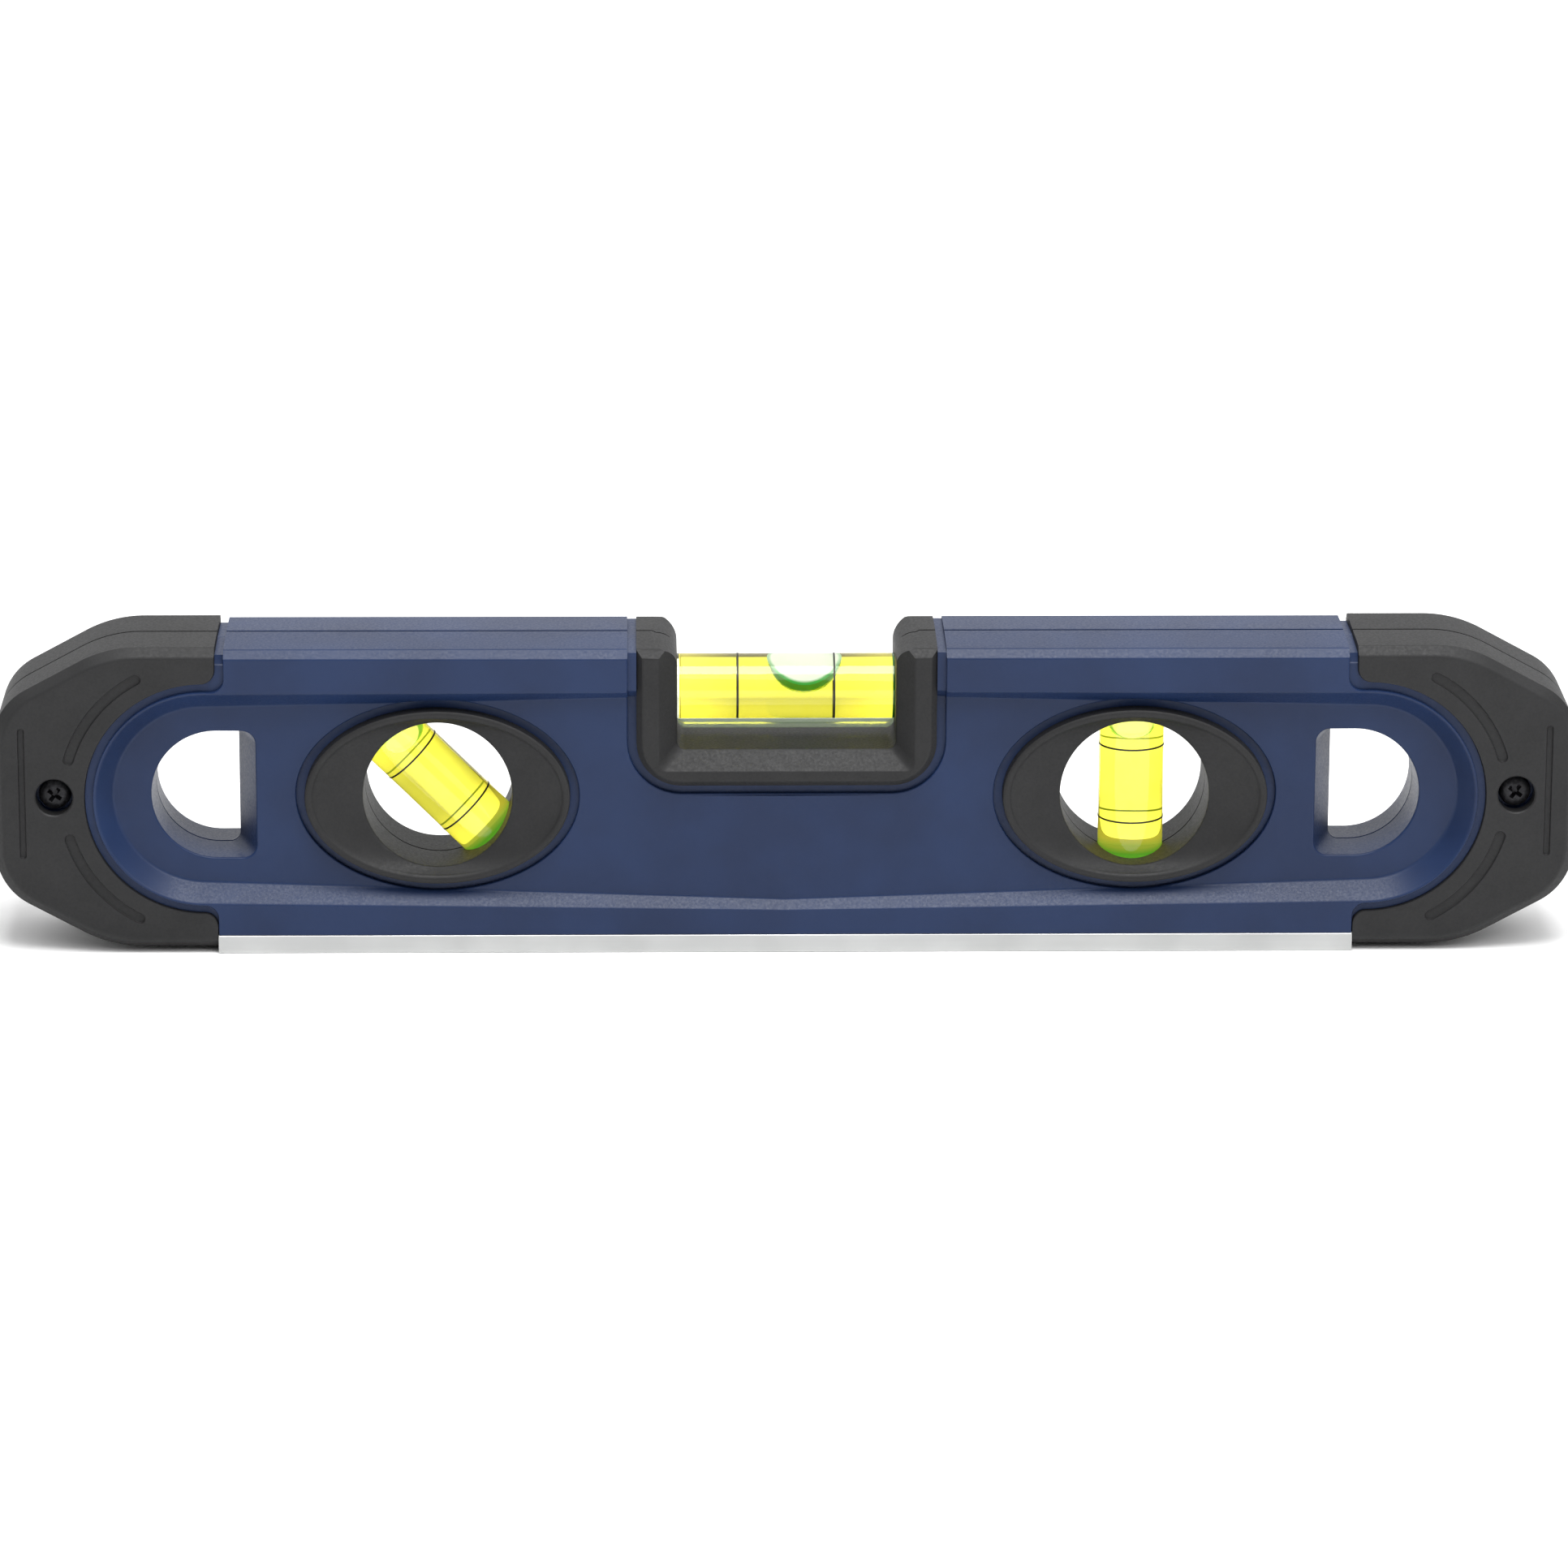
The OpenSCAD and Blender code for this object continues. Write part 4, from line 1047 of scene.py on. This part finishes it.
def bubble_shape(length, r, round_x, round_z):
    """Bubble turned round Z, its ends rounded round_x across and round_z along."""
    profile = []
    for first, level in ((-90, round_z - length / 2), (0, length / 2 - round_z)):
        for a in range(first, first + 91, 9):
            across = max(0.0, round(r - round_x + round_x * math.cos(math.radians(a)), 6))
            profile.append((across, level + round_z * math.sin(math.radians(a))))
    if round_x < r:
        profile = [(0, -length / 2)] + profile + [(0, length / 2)]
    return lathe("bubble", profile, 64)


def ring_piece(inner, outer, width):
    return lathe("ring", [(inner, -width / 2), (inner, width / 2), (outer, width / 2), (outer, -width / 2)], 96)


def fill_vial(size, name, half, plug_len, matrix, material, finishes):
    """Spirit and plug of one vial."""
    bore, edge, gap = size.bore_r, 0.3, 0.03
    low, high = -half + size.closed_end, half - plug_len
    liquid = lathe("liquid", [(0, low), (bore - edge, low), (bore, low + edge), (bore, high), (0, high)])
    finish_piece(place(liquid, matrix), name + "_spirit", "level", material, [name + "_liquid"])
    plug = rod("plug", bore, high + gap, half - 0.1, matrix)
    finish_piece(plug, name + "_plug", "level", finishes["plug"], [name + "_vial_plug"])


def build_window_vial(size, name, matrix, side, finishes, colours):
    """One window vial with its spirit, plug, ring marks and bubble."""
    half = VIAL_LEN / 2
    vial = place(lathe("vial", vial_profile(VIAL_R, half, 0.35)), matrix)
    finish_piece(vial, name + "_vial_clear", "level", finishes["acrylic"], [name + "_vial"])
    centre = matrix @ Vector((0, 0, 0))
    material = vial_spirit(colours, name + " spirit", tuple(centre * MM), (half - 2.5) * MM)
    fill_vial(size, name, half, size.plug_len, matrix, material, finishes)
    ring = ring_piece(VIAL_R + 0.002, VIAL_R + size.mark_t, size.mark_w)
    axis = matrix.to_3x3() @ Vector((0, 0, 1))
    ink = printed_ink(colours, name + " ring ink", tuple(centre * MM), tuple(axis), (VIAL_R + 0.012) * MM)
    marks = repeat(ring, 2, (0, 0, -size.mark_gap / 2), (0, 0, size.mark_gap), ink)
    finish_piece(place(marks, matrix), name + "_marks", "level", ink, [name + "_vial_marks"])
    middle = matrix @ Vector((side, 0, AIR_REST))
    material = air_bubble(colours, name + " air", middle, -axis, AIR_LEN / 2, AIR_R)
    bubble = bubble_shape(AIR_LEN, AIR_R, size.bubble_round, size.bubble_round)
    place(bubble, matrix @ Matrix.Translation((side, 0, AIR_REST)))
    finish_piece(bubble, name + "_air_slug", name + "_air", material, [name + "_bubble"])


def build_block_vial(size, finishes, colours):
    """Centre vial: a clear tube on a satin foot, its spirit, plug, line marks and bubble."""
    half = BLOCK_HIGH.x
    loops = []
    ends = ((-half, 0.4), (-half + 0.12, 0.12), (-half + 0.4, 0), (half - 0.4, 0), (half - 0.12, 0.12), (half, 0.4))
    for x, inset in ends:
        loops.append([(x, y, z) for y, z in block_section(-inset)])
    vial = solid("vial", loops)
    def foot_outline(grow):
        reach, low, high = size.gap_half - size.foot_fit + grow, BLOCK_LOW.z - grow, BLOCK_Z - size.bore_r
        r = size.foot_round
        return rounded([(-reach, high, 0), (-reach, low, r), (reach, low, r), (reach, high, 0)])
    deep, edge = size.foot_w / 2, 0.12
    whole, eased = foot_outline(0), foot_outline(-edge)
    foot = stack("foot", [(eased, -deep), (whole, edge - deep), (whole, deep - edge), (eased, deep)])
    combine(vial, [foot], "UNION")
    finish_piece(vial, "centre_vial_clear", "level", finishes["block"], ["centre_vial"])
    turn = Matrix.Translation((0, 0, BLOCK_Z)) @ Matrix.Rotation(TURN / 4, 4, "Y")
    material = vial_spirit(colours, "centre spirit", (0, 0, BLOCK_Z * MM), (half + 1.0) * MM)
    fill_vial(size, "centre", half, size.block_plug, turn, material, finishes)
    gap = math.degrees(math.asin(size.foot_w / 2 / BLOCK_R)) + 2
    strip = []
    for r, first, last in (
        (BLOCK_R + 0.003, gap - 90, 270 - gap), (BLOCK_R + size.mark_t, 270 - gap, gap - 90),
    ):
        strip += arc((0, BLOCK_Z), r, first, last, 60)
    mark = sweep_x("mark", strip, [-size.mark_w / 2, size.mark_w / 2])
    marks = repeat(mark, 2, (-size.block_gap / 2, 0, 0), (size.block_gap, 0, 0), finishes["ink"])
    finish_piece(marks, "centre_marks", "level", finishes["ink"], ["centre_vial_marks"])
    low, high = box_mm("centre_bubble")
    middle = (low + high) / 2
    reach, drop = (high.x - low.x) / 2, BUBBLE_SHARE * (high.z - low.z)
    middle.z = high.z
    material = air_bubble(colours, "centre air", middle, Vector((0, 0, -1)), drop, reach, drop)
    bubble = bubble_shape(2 * reach, drop, drop, reach)
    place(bubble, Matrix.Translation(middle) @ Matrix.Rotation(TURN / 4, 4, "Y"))
    wall = rod("wall", size.bore_r + BUBBLE_PROUD, -half, half, turn, 128)
    combine(bubble, [wall], "INTERSECT")
    finish_piece(bubble, "centre_air_slug", "centre_air", material, ["centre_bubble"])


# ---- stage ----

SKY_BRIGHTEST = (0, 0.55, 0.83)
# Place and width of each light, in metres
LIGHTS = {
    "key": ((0.35, -0.7, 0.95), 0.9),
    "fill": ((0.8, -0.6, 0.5), 0.8),
    "top": ((0.05, -0.3, 1.0), 0.55),
}


def studio_sky(view):
    """Soft light box: bright above and behind the level, dim in front of it."""
    world = bpy.data.worlds.new("studio")
    world.use_nodes = True
    tree = world.node_tree
    direction = add(tree, "ShaderNodeTexCoord").outputs["Generated"]
    toward = add(tree, "ShaderNodeVectorMath", {0: direction, 1: SKY_BRIGHTEST}, operation="DOT_PRODUCT")
    level = add(tree, "ShaderNodeMapRange", {"Value": toward, **span(-0.35, 0.75, view.sky_front, view.sky)})
    wire(tree, tree.nodes["Background"], {"Strength": level, "Color": (1, 1, 1, 1)})
    return world


def build_stage(view):
    """Pale floor, soft lights and the camera."""
    mesh = bpy.data.meshes.new("floor")
    s = view.floor_size
    mesh.from_pydata([(-s, -s, 0), (s, -s, 0), (s, s, 0), (-s, s, 0)], [], [(0, 1, 2, 3)])
    floor = bpy.data.objects.new("floor", mesh)
    bpy.context.scene.collection.objects.link(floor)
    material, tree, shader, coords = new_material("paper, white")
    fibre = add(tree, "ShaderNodeTexNoise", {"Vector": coords, **pattern(3, 3)})
    paper = add(tree, "ShaderNodeMix", {0: fibre, 6: srgb("#f6f6f6"), 7: srgb("#fbfbfb")}, data_type="RGBA")
    wire(tree, shader, {"Base Color": paper, "Roughness": 0.9})
    mesh.materials.append(material)
    scene = bpy.context.scene
    scene.world = studio_sky(view)
    scene.view_settings.view_transform = "Standard"
    for name, (place_at, width) in LIGHTS.items():
        data = bpy.data.lights.new(name, "AREA")
        data.size = width
        data.energy = getattr(view, name + "_power")
        light = bpy.data.objects.new(name, data)
        light.location = place_at
        light.rotation_euler = (Vector((0, 0, 0.02)) - light.location).to_track_quat("-Z", "Y").to_euler()
        scene.collection.objects.link(light)
    data = bpy.data.cameras.new("camera")
    data.lens = view.lens
    data.sensor_width = 36
    camera = bpy.data.objects.new("camera", data)
    scene.collection.objects.link(camera)
    az, el = view.azimuth, view.elevation
    back = Vector((math.sin(az) * math.cos(el), -math.cos(az) * math.cos(el), math.sin(el)))
    aim = Vector(view.aim)
    camera.location = aim + back * view.distance
    camera.rotation_euler = back.to_track_quat("Z", "Y").to_euler()
    camera.rotation_euler.rotate_axis("Z", view.roll)
    scene.camera = camera


# ---- sizes and finishes ----


def amount(name, about, default, **kind):
    return bpy.props.FloatProperty(name=name, description=about, default=default, **kind)


def length(name, about, millimetres):
    return amount(name, about, millimetres * MM, unit="LENGTH", precision=5)


def angle(name, about, degrees):
    return amount(name, about, math.radians(degrees), subtype="ANGLE")


def colour(name, about, code):
    return bpy.props.FloatVectorProperty(
        name=name, description=about, default=srgb(code), subtype="COLOR", size=4, min=0, max=1
    )


class LevelSizes(bpy.types.PropertyGroup):
    """Sizes of the level's details."""

    seam: length("Seam", "Width of the parting seam's slit", 0.36)
    top_bevel: length("Top bevel", "Bevel along the long top edges", 1.2)
    top_draft: length("Top draft", "Fall of the top face to its front edge", 0.33)
    groove: length("Groove", "Width of the step between housing and soft trim", 1.3)
    groove_depth: length("Groove depth", "Depth of that step", 0.8)
    raised_x: length("Raised end", "Distance from the middle to the end of the raised housing", 81.1)
    corner_round: length("Corner round", "Rounding of the grips' inner corners", 2.0)
    tongue_x: length("Round end", "Distance from the middle to the centre of the housing's round end", 84.2)
    tongue_r: length("Round end radius", "Radius of that end", 17.2)
    dish_r: length("Recess radius", "Radius of the recess at its outer crease", 15.7)
    dish_inner_r: length("Recess inner radius", "Radius of the recess at its inner crease", 13.2)
    crease_low: length("Lower crease", "Height of the lower flange's crease at the middle", 6.4)
    crease_high: length("Upper crease", "Height of the upper flange's crease at the middle", 39.2)
    slope_low: length("Lower slope", "Run of the lower slope at the middle", 1.3)
    slope_high: length("Upper slope", "Run of the upper slope at the middle", 0.6)
    web_mid: length("Web depth, middle", "Depth of the web at the middle", 1.2)
    web_end: length("Web depth, ends", "Depth of the web at the ends", 2.8)
    hang_x: length("Hanging hole", "Distance from the middle to the hole's round side", 82.4)
    hang_r: length("Hanging hole radius", "Radius of the hole's round side", 9.5)
    hang_flat: length("Hole flat", "Distance from that centre to the flat side at the seam", 2.9)
    hang_lean: length("Hole lean", "How far the flat side leans out by the face", 2.7)
    grip_skin: length("Grip skin", "Thickness of the grips over the housing", 2.4)
    grip_bevel: length("Grip bevel", "Bevel round the grips' faces", 1.3)
    grip_taper: length("Grip taper", "Length of the grips' corner taper", 16.5)
    grip_face: length("End face", "Length of the flat end face", 27)
    round_end: length("End rounding", "Rounding beside the end face", 9)
    round_top: length("Top rounding", "Rounding beside the top and bottom", 18)
    rib_gap: length("Finger groove gap", "From the round end to the curved grooves", 3.1)
    rib_w: length("Finger groove width", "Width of the curved finger grooves", 1.5)
    rib_end_w: length("Straight groove width", "Width of the straight finger groove", 0.9)
    rib_d: length("Finger groove depth", "Depth of the finger grooves", 0.4)
    rib_len: length("Straight groove", "Length of the straight finger groove", 19.5)
    rib_inset: length("Straight groove inset", "From the tip to the straight groove", 4.1)
    rib_rise: length("Straight groove rise", "Height of its middle above the grips' middle", 0.9)
    screw_x: length("Screw", "Distance from the middle to each screw", 105.8)
    screw_z: length("Screw height", "Height of the screws above the base", 23.6)
    screw_bore_r: length("Screw bore", "Radius of the counterbore", 2.7)
    screw_fit: length("Screw gap", "Gap round the shank in the front half", 0.2)
    head_r: length("Screw head radius", "Radius of the pan head", 2.3)
    head_h: length("Screw head height", "Height of the pan head", 1.6)
    shank_r: length("Shank radius", "Radius of the screw's thread", 1.25)
    saddle_skin: length("Saddle skin", "Thickness of the saddle over the housing", 2.0)
    saddle_seat: length("Saddle seat", "Depth of the seat under the saddle's face", 2.6)
    saddle_round: length("Saddle rounding", "Rounding of the saddle's lower corners", 6.5)
    saddle_floor: length("Saddle floor", "Height of the saddle's floor", 30.0)
    saddle_bevel: length("Saddle bevel", "Slope from the saddle's face to its floor", 2.7)
    gap_half: length("Saddle gap", "Half the gap between the posts", 15.8)
    post_round: length("Post rounding", "Rounding of the posts' tops", 3.0)
    foot_w: length("Foot width", "Width of the foot under the centre vial", 4.4)
    foot_round: length("Foot rounding", "Rounding of the foot's lower corners", 1.2)
    foot_fit: length("Foot gap", "Gap between the foot and the saddle's posts", 0.1)
    window_r: length("Window radius", "Radius of the round windows", 10.8)
    liner_wall: length("Liner wall", "Wall of the soft liner", 1.5)
    bezel_rim: length("Bezel rim", "Width of the rim round the dish", 1.2)
    rim_step: length("Rim step", "Step down from the bezel's rim into its dish", 0.35)
    bezel_seat: length("Bezel seat", "Depth of the bezel's seat", 4.0)
    dish_depth: length("Dish depth", "Depth of the window's edge below the face", 2.3)
    neck_w: length("Neck width", "Width of the rail's neck", 9.2)
    neck_h: length("Neck height", "Height of the rail's neck", 1.4)
    head_w: length("Rail head", "Width of the rail's head", 12)
    vee_w: length("V groove width", "Width of the V groove under the rail", 7)
    vee_d: length("V groove depth", "Depth of the V groove", 1.8)
    magnet_r: length("Magnet radius", "Radius of each rail magnet", 4)
    magnet_pitch: length("Magnet pitch", "From one magnet to the next", 60)
    bore_r: length("Vial bore", "Radius of every vial's bore", 3.6)
    closed_end: length("Closed end", "Thickness of a vial's closed end", 2)
    plug_len: length("Plug", "Length of a vial's plug", 3)
    block_plug: length("Centre plug", "Length of the centre vial's plug", 2)
    mark_gap: length("Mark gap", "Distance between the rings on a window vial", 11)
    block_gap: length("Line gap", "Distance between the lines on the centre vial", 14)
    mark_w: length("Mark width", "Width of the printed marks", 0.26)
    mark_t: length("Mark thickness", "Thickness of the printed marks", 0.04)
    bubble_round: length("Bubble rounding", "Rounding of the window vials' bubbles", 1.8)


class LevelColours(bpy.types.PropertyGroup):
    """Colours of the level's finishes."""

    navy: colour("Navy", "Moulded housing", "#1a2c4f")
    navy_deep: colour("Deep navy", "Darker flow lines in the housing", "#162646")
    rubber: colour("Rubber", "Soft trim", "#1a1a1b")
    rubber_dust: colour("Rubber film", "Greyer film on the soft trim", "#202021")
    aluminium: colour("Aluminium", "Extruded rail", "#c3c4c3")
    aluminium_dull: colour("Dull aluminium", "Duller parts of the rail", "#b9bab9")
    spirit: colour("Spirit", "Fluorescent spirit", "#e9db3e")
    spirit_pale: colour("Pale spirit", "Paler swirls in the spirit", "#eee462")
    # Also painted on the ring marks' inner side, as painted light for the spirit's glow
    meniscus: colour("Meniscus", "Green where the spirit is seen edge on", "#3fa040")
    # Painted light: the pale bubble colour stands in for the light shining through the air
    air: colour("Air", "Bubble", "#eef0ea")


class LevelView(bpy.types.PropertyGroup):
    """Camera and studio lights."""

    azimuth: angle("Azimuth", "Camera's turn round the level", -1.2)
    elevation: angle("Elevation", "Camera's height", 15.99)
    roll: angle("Roll", "Camera's roll", 0.206)
    distance: length("Distance", "Camera's distance", 1102)
    lens: amount("Lens", "Focal length in mm", 173.3)
    aim: bpy.props.FloatVectorProperty(
        name="Aim", description="Point the camera looks at", default=(-0.00017, 0, 0.02244), subtype="TRANSLATION"
    )
    floor_size: length("Floor", "Half the floor's width", 6000)
    sky: amount("Sky", "Brightness of the light above and behind", 1.1)
    sky_front: amount("Front", "Brightness of the light in front", 0.12)
    key_power: amount("Key", "Power of the key light in watts", 4.0)
    fill_power: amount("Fill", "Power of the fill light in watts", 1.5)
    top_power: amount("Top", "Power of the top light in watts", 9.0)


def sizes_mm(context):
    """The level's sizes as plain numbers in millimetres."""
    group = context.scene.level_sizes
    return type("Sizes", (), {key: getattr(group, key) / MM for key in LevelSizes.__annotations__})


def plain_colours(context):
    """The level's colours as plain tuples."""
    group = context.scene.level_colours
    return type("Colours", (), {key: tuple(getattr(group, key)) for key in LevelColours.__annotations__})


FINISHES = {}


def finish_of(name, make, context):
    """The shared finish of that name, made once."""
    if name not in FINISHES:
        FINISHES[name] = make(plain_colours(context))
    return FINISHES[name]


# ---- operators ----


class LEVEL_OT_housing(bpy.types.Operator):
    """Builds the two halves of the moulded housing"""

    bl_idname = "level.housing"
    bl_label = "Housing"

    def execute(self, context):
        navy = finish_of("navy", moulded_abs, context)
        front = build_shell(sizes_mm(context))
        rear = flip(copy_of(front, "rear"), Y)
        combine(front, screw_tools(sizes_mm(context), True))
        combine(rear, screw_tools(sizes_mm(context), False))
        finish_piece(front, "housing_front", "level", navy, ["front_shell"])
        finish_piece(rear, "housing_rear", "level", navy, ["rear_shell"])
        return {"FINISHED"}


class LEVEL_OT_grips(bpy.types.Operator):
    """Builds the four soft grip halves"""

    bl_idname = "level.grips"
    bl_label = "End grips"

    def execute(self, context):
        rubber = finish_of("rubber", soft_rubber, context)
        size = sizes_mm(context)
        for side, bored in (("front", True), ("rear", False)):
            grip = build_grip(size, bored)
            if side == "rear":
                flip(grip, Y)
            left = flip(copy_of(grip, "left"), X)
            finish_piece(grip, "soft_grip_right_" + side, "level", rubber, ["right_grip_" + side])
            finish_piece(left, "soft_grip_left_" + side, "level", rubber, ["left_grip_" + side])
        return {"FINISHED"}


class LEVEL_OT_saddle(bpy.types.Operator):
    """Builds the two halves of the soft saddle"""

    bl_idname = "level.saddle"
    bl_label = "Saddle"

    def execute(self, context):
        rubber = finish_of("rubber", soft_rubber, context)
        front = build_saddle(sizes_mm(context))
        rear = flip(copy_of(front, "rear"), Y)
        finish_piece(front, "soft_saddle_front", "level", rubber, ["saddle_front"])
        finish_piece(rear, "soft_saddle_rear", "level", rubber, ["saddle_rear"])
        return {"FINISHED"}


class LEVEL_OT_bezels(bpy.types.Operator):
    """Builds the four soft bezel halves"""

    bl_idname = "level.bezels"
    bl_label = "Window bezels"

    def execute(self, context):
        rubber = finish_of("rubber", soft_rubber, context)
        size = sizes_mm(context)
        for name, x in (("left", -WINDOW_X), ("right", WINDOW_X)):
            front = build_bezel(size, x)
            rear = flip(copy_of(front, "rear"), Y)
            for piece, side in ((front, "_front"), (rear, "_rear")):
                piece_name, node = "soft_bezel_" + name + side, name + "_bezel" + side
                finish_piece(piece, piece_name, "level", rubber, [node])
        return {"FINISHED"}


class LEVEL_OT_rail(bpy.types.Operator):
    """Builds the base rail and its magnets"""

    bl_idname = "level.rail"
    bl_label = "Base rail"

    def execute(self, context):
        size = sizes_mm(context)
        metal = finish_of("aluminium", extruded_aluminium, context)
        nickel = finish_of("nickel", nickel_plate, context)
        finish_piece(build_rail(size), "extruded_rail", "level", metal, ["base_rail"])
        row = repeat(build_magnet(size), 3, (-size.magnet_pitch, 0, 0), (size.magnet_pitch, 0, 0), nickel)
        finish_piece(row, "disc_magnets", "level", nickel, ["rail_magnets"])
        return {"FINISHED"}


class LEVEL_OT_screws(bpy.types.Operator):
    """Builds the two clamping screws"""

    bl_idname = "level.screws"
    bl_label = "Screws"

    def execute(self, context):
        size = sizes_mm(context)
        steel = finish_of("steel", black_oxide, context)
        row = repeat(build_screw(size), 2, (-size.screw_x, 0, size.screw_z), (2 * size.screw_x, 0, 0), steel)
        finish_piece(row, "pan_screws", "level", steel, ["clamp_screws"])
        return {"FINISHED"}


class LEVEL_OT_vials(bpy.types.Operator):
    """Builds the three vials with their spirit, plugs, marks and bubbles"""

    bl_idname = "level.vials"
    bl_label = "Vials"

    def execute(self, context):
        size = sizes_mm(context)
        colours = plain_colours(context)
        finishes = {
            "acrylic": finish_of("acrylic", clear_acrylic, context),
            "block": finish_of("block", acrylic_block, context),
            "plug": finish_of("plug", tinted_plug, context),
            "ink": finish_of("ink", printed_ink, context),
        }
        side = size.bore_r - AIR_R - BUBBLE_FIT
        build_window_vial(size, "angle", angle_place(), side, finishes, colours)
        build_window_vial(size, "plumb", plumb_place(), 0.0, finishes, colours)
        build_block_vial(size, finishes, colours)
        return {"FINISHED"}


class LEVEL_OT_stage(bpy.types.Operator):
    """Sets up the floor, the lights and the camera"""

    bl_idname = "level.stage"
    bl_label = "Stage"

    def execute(self, context):
        build_stage(context.scene.level_view)
        return {"FINISHED"}


OPERATORS = (
    LEVEL_OT_stage, LEVEL_OT_housing, LEVEL_OT_grips, LEVEL_OT_saddle, LEVEL_OT_bezels,
    LEVEL_OT_rail, LEVEL_OT_screws, LEVEL_OT_vials,
)


class LEVEL_PT_panel(bpy.types.Panel):
    """Lists the level's pieces in the sidebar."""

    bl_idname = "LEVEL_PT_panel"
    bl_label = "Spirit Level"
    bl_space_type = "VIEW_3D"
    bl_region_type = "UI"
    bl_category = "Level"

    def draw(self, context):
        for operator in OPERATORS:
            self.layout.operator(operator.bl_idname)
        for group in (context.scene.level_sizes, context.scene.level_colours, context.scene.level_view):
            box = self.layout.box()
            for key in group.__annotations__:
                box.prop(group, key)


CLASSES = (LevelSizes, LevelColours, LevelView, *OPERATORS, LEVEL_PT_panel)


def register():
    for cls in CLASSES:
        bpy.utils.register_class(cls)
    bpy.types.Scene.level_sizes = bpy.props.PointerProperty(type=LevelSizes)
    bpy.types.Scene.level_colours = bpy.props.PointerProperty(type=LevelColours)
    bpy.types.Scene.level_view = bpy.props.PointerProperty(type=LevelView)


def unregister():
    del bpy.types.Scene.level_view
    del bpy.types.Scene.level_colours
    del bpy.types.Scene.level_sizes
    for cls in reversed(CLASSES):
        bpy.utils.unregister_class(cls)


def main():
    register()
    for step in ("stage", "housing", "grips", "saddle", "bezels", "rail", "screws", "vials"):
        getattr(bpy.ops.level, step)()


if __name__ == "__main__":
    main()
